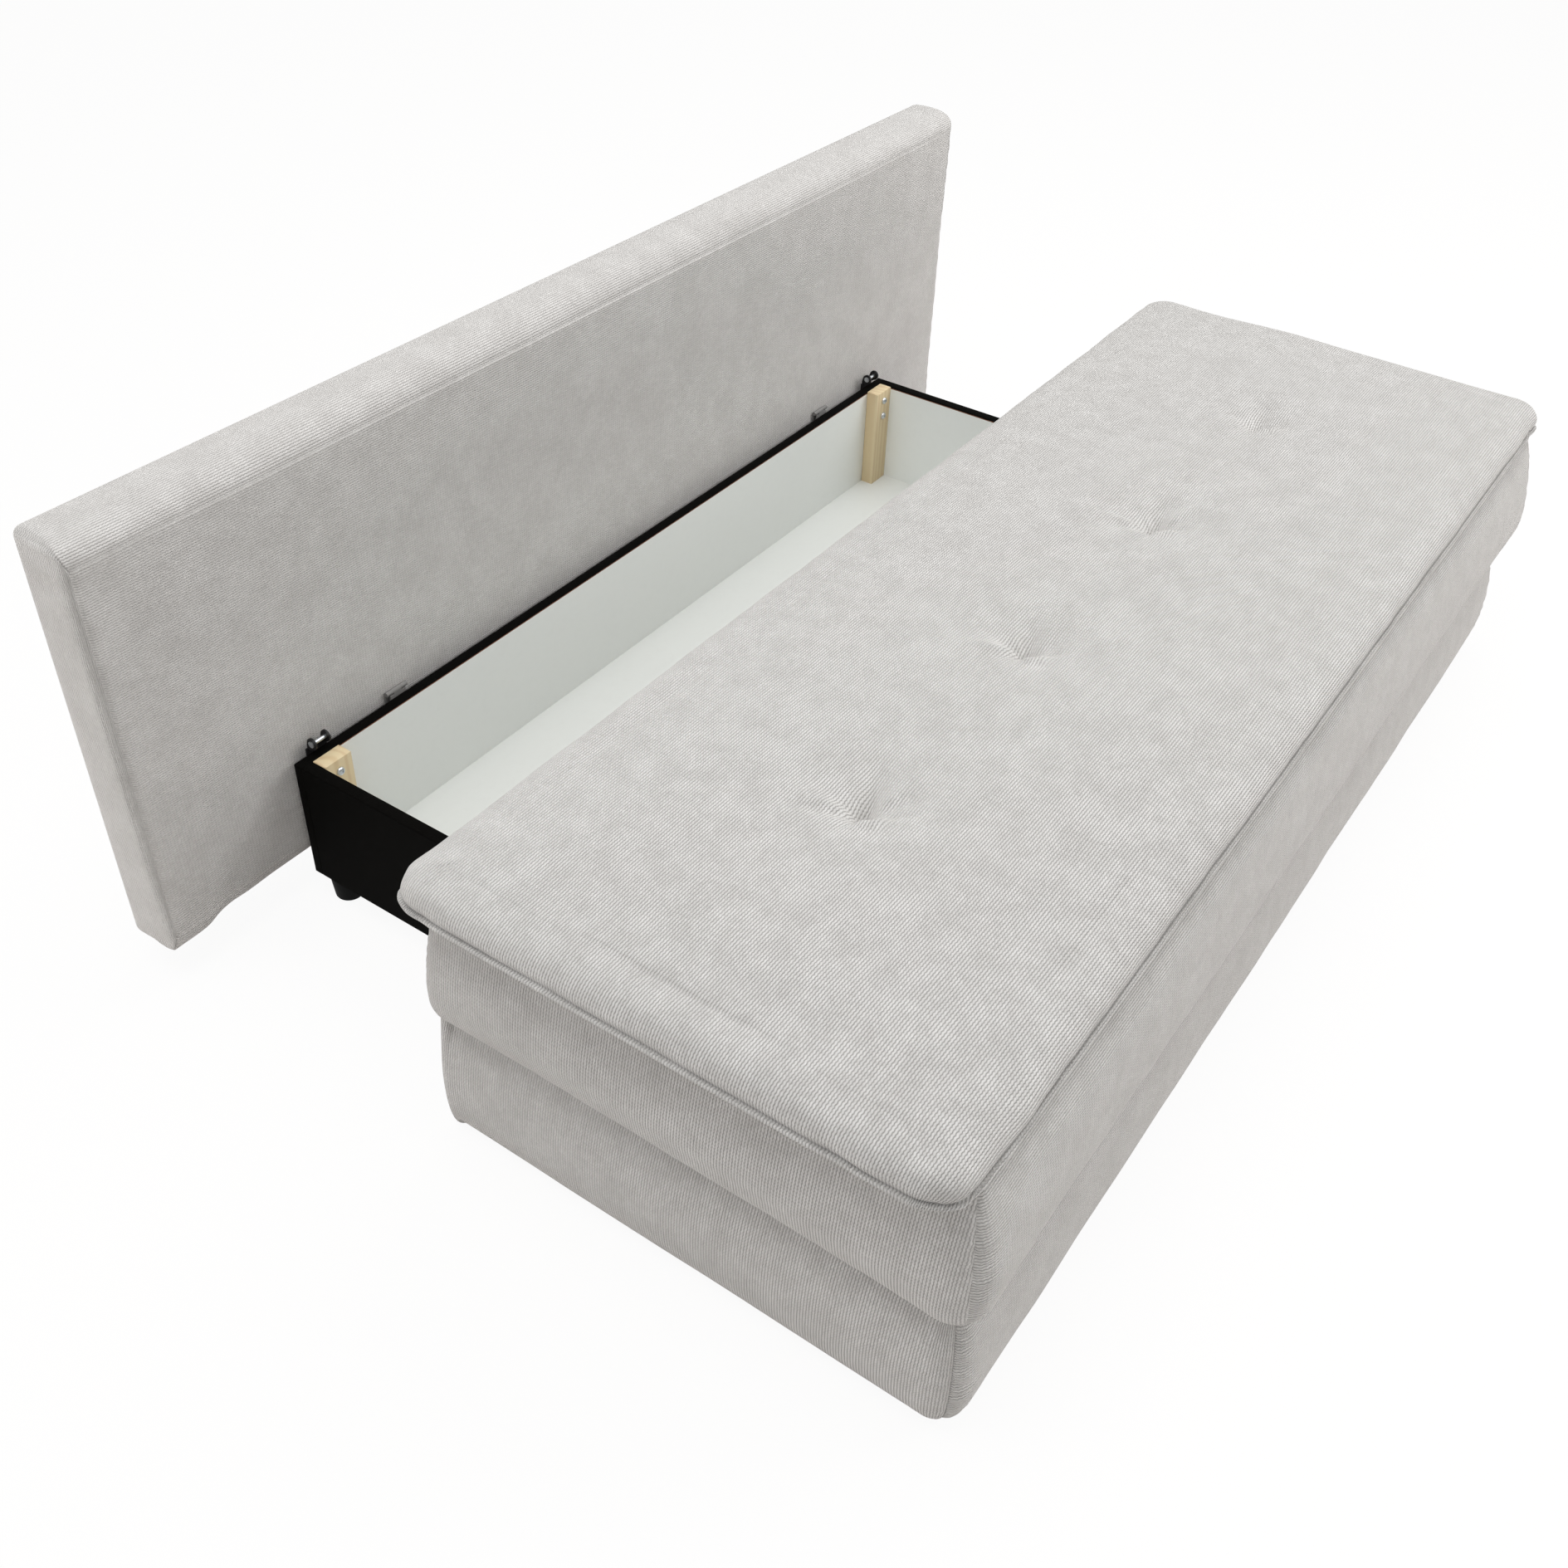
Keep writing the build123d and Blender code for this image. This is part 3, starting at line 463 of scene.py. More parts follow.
@dataclass(frozen=True)
class HardFinish:
    """A plain hard or matt surface with dust, small tone changes and a fine texture."""

    name: str
    colour: tuple
    worn: tuple
    roughness: float = 0.5
    metallic: float = 0.0
    texture_scale: float = 700.0
    texture_depth: float = 0.0001
    scuff_size: float = 60.0
    scuff_share: float = 0.25
    scratch_roughness: float = 0.15
    specular: float = 0.5

    def build(self) -> bpy.types.Material:
        """Make the material.

        Returns:
            The material.
        """
        material, g, shader = start_material(self.name)
        where = g.place()
        size = {"Vector": where, "Size": self.scuff_size}
        scuff = g.node("ShaderNodeGroup", size, node_tree=GROUPS.scuff).outputs
        share = g.maths("MULTIPLY", scuff["Dust"], self.scuff_share)
        dull = min(1.0, self.roughness + self.scratch_roughness)
        g.fill(shader, {
            "Base Color": g.mixed(share, self.colour, self.worn),
            "Roughness": g.ramp(scuff["Scratch"], 0.0, 1.0, self.roughness, dull),
            "Metallic": self.metallic, "Specular IOR Level": self.specular,
        })
        add_bump(g, shader, g.noise(where, self.texture_scale, 3.0, 0.7), self.texture_depth)
        return material


@dataclass(frozen=True)
class Foam:
    """Open-cell foam, for the cores."""

    name: str = "seat_foam"
    colour: tuple = rgb(0.86, 0.81, 0.62)
    shadow: float = 0.75
    roughness: float = 0.95
    cell_scale: float = 600.0
    cell_depth: float = 0.0006

    def build(self) -> bpy.types.Material:
        """Make the material.

        Returns:
            The material.
        """
        material, g, shader = start_material(self.name)
        size = {"Vector": g.place(), "Scale": self.cell_scale}
        cells = g.node("ShaderNodeTexVoronoi", size).outputs["Distance"]
        body = g.mixed(cells, darker(self.colour, self.shadow), self.colour)
        g.fill(shader, {"Base Color": body, "Roughness": self.roughness})
        add_bump(g, shader, cells, self.cell_depth)
        return material


class Finishes:
    """Every material of the sofa bed, built once."""

    def __init__(self) -> None:
        """Build the materials."""
        self.fabric = CordFabric().build()
        self.back_fabric = CordFabric("ribbed_back_upholstery", light=rgb(0.738, 0.722, 0.703),
                                      dark=rgb(0.626, 0.608, 0.589), rib_pitch=0.00350, bead_pitch=0.0049,
                                      rib_depth=0.0010, groove_shade_strength=0.48, patches=20.0).build()
        self.thread = Thread().build()
        self.pine_up = Softwood("pine_upright", Axis.Z).build()
        self.pine_long = Softwood("pine_long", Axis.X).build()
        self.pine_deep = Softwood("pine_crosswise", Axis.Y).build()
        self.plywood = Softwood("plywood_deck", Axis.X, rgb(0.72, 0.56, 0.36), rgb(0.60, 0.43, 0.25),
                                28.0, 0.45).build()
        self.wrap = HardFinish("black_wrap", rgb(0.0032, 0.0030, 0.0026), rgb(0.006, 0.0058, 0.0054), 0.85,
                               texture_scale=1600.0, texture_depth=0.0003, specular=0.03).build()
        self.lining = HardFinish("pale_lining", rgb(0.88, 0.905, 0.885), rgb(0.83, 0.855, 0.835), 0.45,
                                 texture_scale=260.0, texture_depth=0.00004, scuff_share=0.3,
                                 specular=0.35).build()
        self.board_edge = HardFinish("board_edge", rgb(0.24, 0.10, 0.055), rgb(0.33, 0.17, 0.10),
                                     0.8).build()
        self.floor_board = HardFinish("pale_floor_board", rgb(0.74, 0.755, 0.73), rgb(0.69, 0.70, 0.675),
                                      0.4, texture_scale=200.0, texture_depth=0.00004).build()
        self.foot = HardFinish("black_foot", rgb(0.004, 0.004, 0.004), rgb(0.008, 0.008, 0.008), 0.7,
                               texture_scale=1200.0, specular=0.06).build()
        self.steel = HardFinish("black_coated_steel", rgb(0.010, 0.010, 0.011), rgb(0.03, 0.03, 0.032),
                                0.45, texture_scale=2200.0, texture_depth=0.00006, specular=0.3).build()
        self.grey_steel = HardFinish("grey_coated_steel", rgb(0.26, 0.253, 0.246), rgb(0.21, 0.205, 0.20),
                                     0.8, texture_scale=2200.0, texture_depth=0.00006, specular=0.3).build()
        self.zinc = HardFinish("bright_zinc", rgb(0.62, 0.65, 0.68), rgb(0.45, 0.46, 0.46), 0.28, 1.0,
                               texture_scale=900.0, texture_depth=0.00005).build()
        self.rubber = HardFinish("black_rubber", rgb(0.012, 0.012, 0.012), rgb(0.04, 0.04, 0.04), 0.85,
                                 texture_scale=900.0, texture_depth=0.0002).build()
        self.wheel = HardFinish("wheel_plastic", rgb(0.03, 0.03, 0.032), rgb(0.10, 0.10, 0.10),
                                0.5).build()
        self.foam = Foam().build()


# Mesh helpers


def wander(points: np.ndarray, wavelength: float, seed: int, waves: int = 14) -> np.ndarray:
    """Smooth noise as a sum of sine waves.

    Args:
        points: The points, one row each.
        wavelength: The middle wavelength.
        seed: The random seed.
        waves: How many waves are added.

    Returns:
        A value of about -1 to 1 for each point.
    """
    dice = np.random.default_rng(seed)
    total = np.zeros(len(points))
    for _ in range(waves):
        way = dice.normal(size=3)
        way /= np.linalg.norm(way)
        length = wavelength * dice.uniform(0.6, 1.7)
        total += np.sin(points @ way * (2 * math.pi / length) + dice.uniform(0, 2 * math.pi))
    return total / math.sqrt(waves / 2) / 2


@dataclass(frozen=True)
class Ripple:
    """Smooth noise of one wavelength, which can be stronger near the corners."""

    wavelength: float
    depth: float
    seed: int
    corner_depth: float = 0.0

    def at(self, points: np.ndarray, near: np.ndarray | float = 0.0) -> np.ndarray:
        """The noise at each point, with its nearness to a corner from 0 to 1."""
        return wander(points, self.wavelength, self.seed) * (self.depth + self.corner_depth * near)


def rippled(ripples: tuple, points: np.ndarray, near: np.ndarray | float = 0.0) -> np.ndarray:
    """The sum of some ripples at each point."""
    return sum(ripple.at(points, near) for ripple in ripples)


def breaks(low: float, high: float, coarse: float, spots: list[tuple] = ()) -> np.ndarray:
    """Grid lines along one axis, closer together round some places.

    Args:
        low: The first line.
        high: The last line.
        coarse: The usual spacing.
        spots: Centre, half width and spacing of each closer stretch.

    Returns:
        The lines' places.
    """
    fine = np.linspace(low, high, 4001)
    spacing = np.full(len(fine), coarse)
    for centre, half, step in spots:
        near = np.clip(np.abs(fine - centre) / half - 0.6, 0, 1)
        spacing = np.minimum(spacing, step + (coarse - step) * near)
    density = 1.0 / spacing
    total = np.concatenate([[0], np.cumsum((density[1:] + density[:-1]) / 2 * np.diff(fine))])
    count = max(4, int(round(total[-1])))
    return np.interp(np.linspace(0, total[-1], count + 1), total, fine)


def grid_lines(half: float, coarse: float, near: tuple, spots: list[tuple] = ()) -> np.ndarray:
    """Grid lines across a block, closer together at both ends and round some places.

    Args:
        half: Half the block's size.
        coarse: The usual spacing.
        near: Half width and spacing of the closer stretch at each end.
        spots: Centre, half width and spacing of each further closer stretch.

    Returns:
        The lines' places, from the middle.
    """
    return breaks(-half, half, coarse, [(-half, *near), (half, *near), *spots])


def with_line(lines: np.ndarray, place: float, room: float = 0.004) -> np.ndarray:
    """Grid lines with one more at a given place, without their neighbours that come too near it.

    Args:
        lines: The lines' places.
        place: Where the new line goes.
        room: How near another line may be.

    Returns:
        The lines' new places.
    """
    kept = lines[np.abs(lines - place) > room]
    return np.sort(np.append(kept, place))


def ease_to(values: np.ndarray, limit: float, sign: int, room: float = 0.004) -> np.ndarray:
    """Ease the values that come near a limit, so that none passes it.

    Args:
        values: The values.
        limit: The value that isn't passed.
        sign: 1 for an upper limit and -1 for a lower one.
        room: How far from the limit the easing starts.

    Returns:
        The eased values.
    """
    over = np.maximum(sign * (values - limit) + room, 0)
    return np.where(over > 0, limit + sign * (room * np.tanh(over / room) - room), values)


class Side(Enum):
    """The six sides of a block of cells."""

    BOTTOM = 0
    TOP = 1
    LEFT = 2
    RIGHT = 3
    FRONT = 4
    BACK = 5


@dataclass
class Lattice:
    """The surface of a block of cells, whose points are then moved to a soft shape."""

    across: int
    deep: int
    rows: int
    grid: np.ndarray = field(init=False)
    faces: np.ndarray = field(init=False)
    sides: np.ndarray = field(init=False)

    def __post_init__(self) -> None:
        """Number the points and list the faces, with their sides."""
        nx, ny, nz = self.across, self.deep, self.rows
        inner = np.zeros((nx, ny, nz), bool)
        inner[1:-1, 1:-1, 1:-1] = True
        number = np.full((nx, ny, nz), -1)
        number[~inner] = np.arange((~inner).sum())
        self.grid = np.argwhere(~inner)
        patches = (
            (number[:, :, 0], True, Side.BOTTOM), (number[:, :, -1], False, Side.TOP),
            (number[0, :, :], True, Side.LEFT), (number[-1, :, :], False, Side.RIGHT),
            (number[:, 0, :], False, Side.FRONT), (number[:, -1, :], True, Side.BACK),
        )
        faces, sides = [], []
        for patch, turned, side in patches:
            a, b, c, d = patch[:-1, :-1], patch[1:, :-1], patch[1:, 1:], patch[:-1, 1:]
            quads = np.stack([a, d, c, b] if turned else [a, b, c, d], axis=-1).reshape(-1, 4)
            faces.append(quads)
            sides.append(np.full(len(quads), side.value))
        self.faces = np.concatenate(faces)
        self.sides = np.concatenate(sides)


def half_sizes(low: Vector, high: Vector) -> list[float]:
    """Half the size of a box along each axis."""
    return [(end - start) / 2 for start, end in zip(low, high)]


def add_object(name: str, data: bpy.types.ID) -> bpy.types.Object:
    """Put a new object into the scene.

    Args:
        name: The object's name.
        data: Its mesh, curve, camera or lamp.

    Returns:
        The object.
    """
    made = bpy.data.objects.new(name, data)
    bpy.context.scene.collection.objects.link(made)
    return made


def make_piece(name: str, points: np.ndarray, faces: np.ndarray, material: bpy.types.Material,
               uv: np.ndarray | None = None) -> bpy.types.Object:
    """A smooth mesh object at the origin.

    Args:
        name: The object's name.
        points: Its points.
        faces: Its faces, as rows of point numbers.
        material: Its material.
        uv: Cloth coordinates of each face corner.

    Returns:
        The object.
    """
    mesh = bpy.data.meshes.new(name)
    mesh.from_pydata(points.tolist(), [], faces.tolist())
    if uv is not None:
        layer = mesh.uv_layers.new(name=CLOTH_UV)
        layer.data.foreach_set("uv", uv.astype(np.float32).ravel())
    mesh.shade_smooth()
    mesh.materials.append(material)
    return add_object(name, mesh)


def shade(made: bmesh.types.BMesh) -> None:
    """Turn a bmesh's faces outward and shade them smooth, except across sharp edges.

    Args:
        made: The bmesh.
    """
    bmesh.ops.recalc_face_normals(made, faces=made.faces)
    for face in made.faces:
        face.smooth = True
    for edge in made.edges:
        if len(edge.link_faces) == 2 and edge.calc_face_angle() > SHARP_ANGLE:
            edge.smooth = False


def to_mesh(name: str, made: bmesh.types.BMesh) -> bpy.types.Mesh:
    """Turn a bmesh into a mesh.

    Args:
        name: The mesh's name.
        made: The bmesh, which is freed.

    Returns:
        The mesh.
    """
    mesh = bpy.data.meshes.new(name)
    made.to_mesh(mesh)
    made.free()
    return mesh


def piece_from_bmesh(name: str, made: bmesh.types.BMesh, materials: list) -> bpy.types.Object:
    """Turn a bmesh into an object at the origin, smooth except at sharp edges.

    Args:
        name: The object's name.
        made: The bmesh, which is freed.
        materials: Its materials, in slot order.

    Returns:
        The object.
    """
    shade(made)
    mesh = to_mesh(name, made)
    for material in materials:
        mesh.materials.append(material)
    return add_object(name, mesh)


def points_of(mesh: bpy.types.Mesh, what: str = "co") -> np.ndarray:
    """A mesh's points, or their normals, as rows.

    Args:
        mesh: The mesh.
        what: "co" for the points and "normal" for their normals.

    Returns:
        One row for each point.
    """
    values = np.zeros(len(mesh.vertices) * 3, np.float32)
    mesh.vertices.foreach_get(what, values)
    return values.reshape(-1, 3).astype(float)


def set_points(mesh: bpy.types.Mesh, points: np.ndarray) -> None:
    """Write a mesh's points."""
    mesh.vertices.foreach_set("co", points.astype(np.float32).ravel())
    mesh.update()


def smooth_over(mesh: bpy.types.Mesh, values: np.ndarray, passes: int) -> np.ndarray:
    """Average values over a mesh's neighbouring points.

    Args:
        mesh: The mesh whose edges tell the neighbours.
        values: One row for each point.
        passes: How often the average is taken.

    Returns:
        The smoothed rows.
    """
    edges = np.zeros(len(mesh.edges) * 2, np.int32)
    mesh.edges.foreach_get("vertices", edges)
    first, second = edges.reshape(-1, 2).T
    count = np.bincount(edges, minlength=len(values))[:, None]
    for _ in range(passes):
        total = np.zeros_like(values)
        np.add.at(total, first, values[second])
        np.add.at(total, second, values[first])
        values = (values + total / count) / 2
    return values


def bump_at(distance: np.ndarray, width: np.ndarray | float) -> np.ndarray:
    """A smooth bump of height 1 at distance 0."""
    return np.exp(-((distance / width) ** 2))


def blend(values: np.ndarray, start: float, width: float) -> np.ndarray:
    """How far values are past a start, growing from 0 to 1 over a width."""
    return np.clip((values - start) / width, 0, 1)


def smooth_step(share: np.ndarray) -> np.ndarray:
    """A share from 0 to 1 with a level start and end."""
    return share * share * (3 - 2 * share)


def inflate(piece: bpy.types.Object, held: np.ndarray, pressure: float, frames: int, cap: float,
            growth: float, passes: int = 8) -> None:
    """Blow a closed cloth shape up with Cloth, and keep the result as its mesh.

    Args:
        piece: The closed mesh.
        held: Which points stay where they are.
        pressure: The cloth's pressure.
        frames: How many frames are simulated.
        cap: How far a point may move.
        growth: How much larger than the mesh the cloth is cut.
        passes: How often the points' moves are averaged.
    """
    before = points_of(piece.data)
    group = piece.vertex_groups.new(name="held")
    group.add(np.flatnonzero(held).tolist(), 1.0, "REPLACE")
    cloth = piece.modifiers.new("cloth", "CLOTH")
    settings = cloth.settings
    settings.quality = 4
    settings.mass = 0.25
    settings.tension_stiffness = 12.0
    settings.compression_stiffness = 12.0
    settings.shear_stiffness = 6.0
    settings.bending_stiffness = 0.6
    settings.air_damping = 3.0
    settings.use_pressure = True
    settings.uniform_pressure_force = pressure
    settings.shrink_min = -growth
    settings.vertex_group_mass = group.name
    settings.effector_weights.gravity = 0.0
    cloth.point_cache.frame_start = 1
    cloth.point_cache.frame_end = frames
    scene = bpy.context.scene
    for number in range(1, frames + 1):
        scene.frame_set(number)
    shape = piece.evaluated_get(bpy.context.evaluated_depsgraph_get())
    after = points_of(shape.data)
    piece.modifiers.remove(cloth)
    scene.frame_set(1)
    move = smooth_over(piece.data, np.nan_to_num(after - before), passes)
    move[held] = 0
    size = np.linalg.norm(move, axis=1, keepdims=True)
    move *= np.minimum(1.0, cap / np.maximum(size, 1e-9))
    piece.vertex_groups.remove(group)
    set_points(piece.data, before + move)


# Soft shapes


@dataclass
class Section:
    """How a soft block is drawn in up its height, as a smooth line through a few points."""

    heights: list[float]
    insets: list[float]
    side_insets: list[float] | None = None
    step: float = 0.006
    lines: np.ndarray = field(init=False)

    def __post_init__(self) -> None:
        """Lay the smooth line, with one row of height and insets for each lattice row."""
        points = np.array([self.heights, self.insets, self.side_insets or self.insets]).T
        chord = np.concatenate([[0], np.cumsum(np.linalg.norm(np.diff(points[:, :2], axis=0), axis=1))])
        slope = np.gradient(points, chord, axis=0)
        rows = [points[:1]]
        for n, length in enumerate(np.diff(chord)):
            count = max(1, math.ceil(length / self.step))
            t = np.linspace(0, 1, count + 1)[1:, None]
            start, end = points[n], points[n + 1]
            rise, fall = slope[n] * length, slope[n + 1] * length
            rows.append((2 * t**3 - 3 * t**2 + 1) * start + (t**3 - 2 * t**2 + t) * rise
                        + (3 * t**2 - 2 * t**3) * end + (t**3 - t**2) * fall)
        self.lines = np.concatenate(rows)

    def __len__(self) -> int:
        """How many rows there are."""
        return len(self.lines)

    def run(self) -> np.ndarray:
        """Each row's distance along the section."""
        steps = np.linalg.norm(np.diff(self.lines[:, :2], axis=0), axis=1)
        return np.concatenate([[0], np.cumsum(steps)])


@dataclass
class SoftBlock:
    """A soft block with rounded corners in plan, built on a lattice in its own axes."""

    half_length: float
    half_depth: float
    corner: float
    section: Section
    xs: np.ndarray
    ys: np.ndarray
    upright_ends: bool = False
    draped: bool = False
    least_corner: float = 0.010
    lattice: Lattice = field(init=False)
    plan: np.ndarray = field(init=False)
    points: np.ndarray = field(init=False)
    unrolled: np.ndarray = field(init=False)
    outward: np.ndarray = field(init=False)

    def __post_init__(self) -> None:
        """Make the lattice, and place its points both in space and unrolled."""
        self.lattice = Lattice(len(self.xs), len(self.ys), len(self.section))
        grid = self.lattice.grid
        self.plan = np.stack([self.xs[grid[:, 0]], self.ys[grid[:, 1]]], axis=1)
        z, inset_y, inset_x = self.section.lines[grid[:, 2]].T
        radius = np.maximum(self.corner - np.maximum(inset_x, inset_y), self.least_corner)
        flats, beyonds = [], []
        for axis, (half, inset) in enumerate(((self.half_length, inset_x), (self.half_depth, inset_y))):
            value = np.abs(self.plan[:, axis])
            flat = half - self.corner
            beyonds.append(blend(value, flat, self.corner))
            flats.append((half - inset - radius) * blend(value, 0, flat))
        (u, v), (flat_x, flat_y) = beyonds, flats
        ways = np.sign(self.plan)
        self.outward = ways * np.stack([u * np.sqrt(1 - v * v / 2), v * np.sqrt(1 - u * u / 2)], axis=1)
        plan = ways * np.stack([flat_x, flat_y], axis=1) + radius[:, None] * self.outward
        self.points = np.column_stack([plan, z])
        quarter = radius * math.pi / 4
        self.unrolled = ways * np.stack([flat_x + quarter * u, flat_y + quarter * v], axis=1)

    def cloth_map(self, pulls: list[tuple] = (), pull: float = 0.0, reach: float = 1.0) -> np.ndarray:
        """Cloth coordinates of each face corner: along the ribs, then across them, in metres.

        Args:
            pulls: Places on the top to which the cloth is pulled together.
            pull: How strongly it is pulled.
            reach: How far the pull reaches.

        Returns:
            One pair for each corner of each face.
        """
        run = self.section.run()
        down = run[-1] - run[self.lattice.grid[:, 2]]
        flat = self.unrolled
        last = self.section.lines[-1]
        edge = np.array([self.half_length - last[2], self.half_depth - last[1]])
        over = np.sign(self.plan) * (edge + down[:, None])
        top = flat.copy()
        if self.draped:
            beyond = down - last[1] + self.section.lines[self.lattice.grid[:, 2], 1]
            top = self.points[:, :2] + self.outward * beyond[:, None]
        for place in pulls:
            away = self.points[:, :2] - place
            top += away * pull * np.exp(-(away**2).sum(axis=1, keepdims=True) / reach**2)
        front = np.stack([flat[:, 0], over[:, 1]], axis=1)
        ends = np.stack([over[:, 0], flat[:, 1]], axis=1)
        if self.draped:
            front = ends = top
        if self.upright_ends:
            ends = np.stack([flat[:, 1], down], axis=1)
        sorts = {Side.TOP: top, Side.BOTTOM: flat, Side.FRONT: front, Side.BACK: front, Side.LEFT: ends,
                 Side.RIGHT: ends}
        faces = self.lattice.faces
        uv = np.zeros((len(faces), 4, 2))
        for side, values in sorts.items():
            rows = self.lattice.sides == side.value
            uv[rows] = values[faces[rows]]
        return uv

    def gap(self, places: np.ndarray) -> np.ndarray:
        """How far places in plan are from the block's outline, along each axis."""
        return np.array([self.half_length, self.half_depth]) - np.abs(places)

    def corner_distance(self) -> np.ndarray:
        """How far each side point is from the nearest upright corner, along the side; large elsewhere."""
        gap_x, gap_y = self.gap(self.plan).T
        return np.where(gap_x < TOUCH, gap_y, np.where(gap_y < TOUCH, gap_x, 9.0))

    def is_side(self) -> np.ndarray:
        """Which points lie on the block's sides."""
        return self.gap(self.plan).min(axis=1) < TOUCH


@dataclass
class SoftPart:
    """A soft piece of the sofa bed, within the box of the CAD node that it replaces."""

    finishes: Finishes
    low: Vector
    high: Vector
    block: SoftBlock = field(init=False)

    def middle(self) -> float:
        """The piece's middle across its depth."""
        return (self.low.y + self.high.y) / 2

    def share_up(self, points: np.ndarray) -> np.ndarray:
        """Each point's height as a share of the piece's height."""
        return (points[:, 2] - self.low.z) / (self.high.z - self.low.z)


# Seat


@dataclass
class Crease:
    """A fold that runs out from a tuft: a groove, or a ridge where its depth is negative."""

    way: float
    depth: float
    length: float
    width: float


@dataclass
class Topper(SoftPart):
    """The thin top pad: a sewn lip round its foot, a crowned top and a row of tufts."""

    corner: float = 0.054
    spacing: float = 0.016
    crown: float = 0.0065
    crown_start: float = 0.045
    crown_width: float = 0.13
    upper_start: float = 0.25
    upper_width: float = 0.5
    tuft_spacing: float = 0.400
    tuft_forward: float = 0.008
    dish_width: float = 0.035
    dish_depth: float = 0.0170
    dish_power: float = 1.35
    pinch_width: float = 0.0115
    pinch_depth: float = 0.0195
    pinch_power: float = 1.3
    long_way: float = 0.45
    long_share: float = 0.50
    lip_way: float = -1.85
    lip_rise: float = 0.0100
    lip_reach: float = 0.016
    lip_width: float = 0.0105
    lip_power: float = 0.6
    first_tuft_seed: int = 40
    crease_turn: float = 0.13
    crease_bend: float = 3.0
    crease_strength: tuple = (0.95, 1.4)
    crease_start: float = 0.010
    crease_widening: float = 0.075
    corner_reach: float = 0.13
    side_start: float = 0.012
    side_width: float = 0.03
    wave_top: float = 0.8
    out_start: float = 0.01
    out_width: float = 0.05
    wave_out: float = 0.7
    tuck: float = 0.0015
    sag_share: float = 0.12
    held_height: float = 0.0065
    held_round: float = 0.012
    stitch_inset: float = 0.0046
    stitch_rise: float = 0.0054
    stitch_step: float = 0.0068
    foam_dent: float = 0.027
    foam_dent_width: float = 0.040

    slow = (Ripple(0.30, 0.0016, 3), Ripple(0.11, 0.0007, 4))
    edge_waves = (Ripple(0.060, 0.0008, 11, 0.0034), Ripple(0.16, 0.0012, 12),
                  Ripple(0.030, 0.0, 14, 0.0020))
    edge_puff = Ripple(0.085, 0.0008, 13, 0.0014)
    creases = (
        Crease(0.26, 0.0080, 0.078, 0.0125), Crease(-0.16, -0.0030, 0.095, 0.0090),
        Crease(-0.52, 0.0028, 0.060, 0.0085), Crease(1.92, -0.0036, 0.090, 0.0095),
        Crease(1.56, 0.0026, 0.066, 0.0080), Crease(2.28, 0.0032, 0.078, 0.0085),
        Crease(2.90, 0.0044, 0.046, 0.0070), Crease(-1.02, 0.0044, 0.042, 0.0070),
        Crease(0.84, -0.0024, 0.055, 0.0100), Crease(-2.30, 0.0012, 0.050, 0.0090),
    )

    def tufts(self) -> list[tuple[float, float]]:
        """The tufts' middles, from the pad's own middle."""
        return [((i - 1.5) * self.tuft_spacing, -self.tuft_forward) for i in range(4)]

    def lay(self) -> None:
        """Lay the pad's surface before any cloth simulation."""
        half_x, half_y, _ = half_sizes(self.low, self.high)
        foot, rise = self.low.z, self.high.z - self.low.z
        heights = [0.0004, 0.0002, 0.0016, 0.0034, 0.0046, 0.0052, 0.0076, 0.0130, 0.0200, 0.0275, 0.0335,
                   0.0376, rise - 0.0038]
        insets = [0.0080, 0.0020, 0.0000, 0.0002, 0.0022, 0.0064, 0.0054, 0.0034, 0.0042, 0.0090, 0.0170,
                  0.0300, 0.0560]
        section = Section([foot + h for h in heights], insets, step=0.0045)
        near_edge, near_tuft = (0.09, 0.006), (0.110, 0.0042)
        xs = grid_lines(half_x, self.spacing, near_edge, [(x, *near_tuft) for x, _ in self.tufts()])
        ys = grid_lines(half_y, self.spacing, near_edge, [(-self.tuft_forward, *near_tuft)])
        self.block = SoftBlock(half_x, half_y, self.corner, section, xs, ys, draped=True)

    def soften(self, points: np.ndarray) -> np.ndarray:
        """Add the crown, the tufts, the wavy lip and the slow unevenness of the wadding.

        Args:
            points: The pad's points.

        Returns:
            The moved points.
        """
        points = points.copy()
        height = self.share_up(points)
        upper = blend(height, self.upper_start, self.upper_width)
        own = points[:, :2] - (0, self.middle())
        rise = blend(self.block.gap(own).min(axis=1), self.crown_start, self.crown_width)
        slow = rippled(self.slow, points * (1, 1, 0))
        points[:, 2] += upper * (self.crown * smooth_step(rise) + slow)
        for number, (x, y) in enumerate(self.tufts()):
            points[:, 2] -= upper * rise * self.tuft(own - (x, y), number)
        self.wave_edge(points, height)
        return points

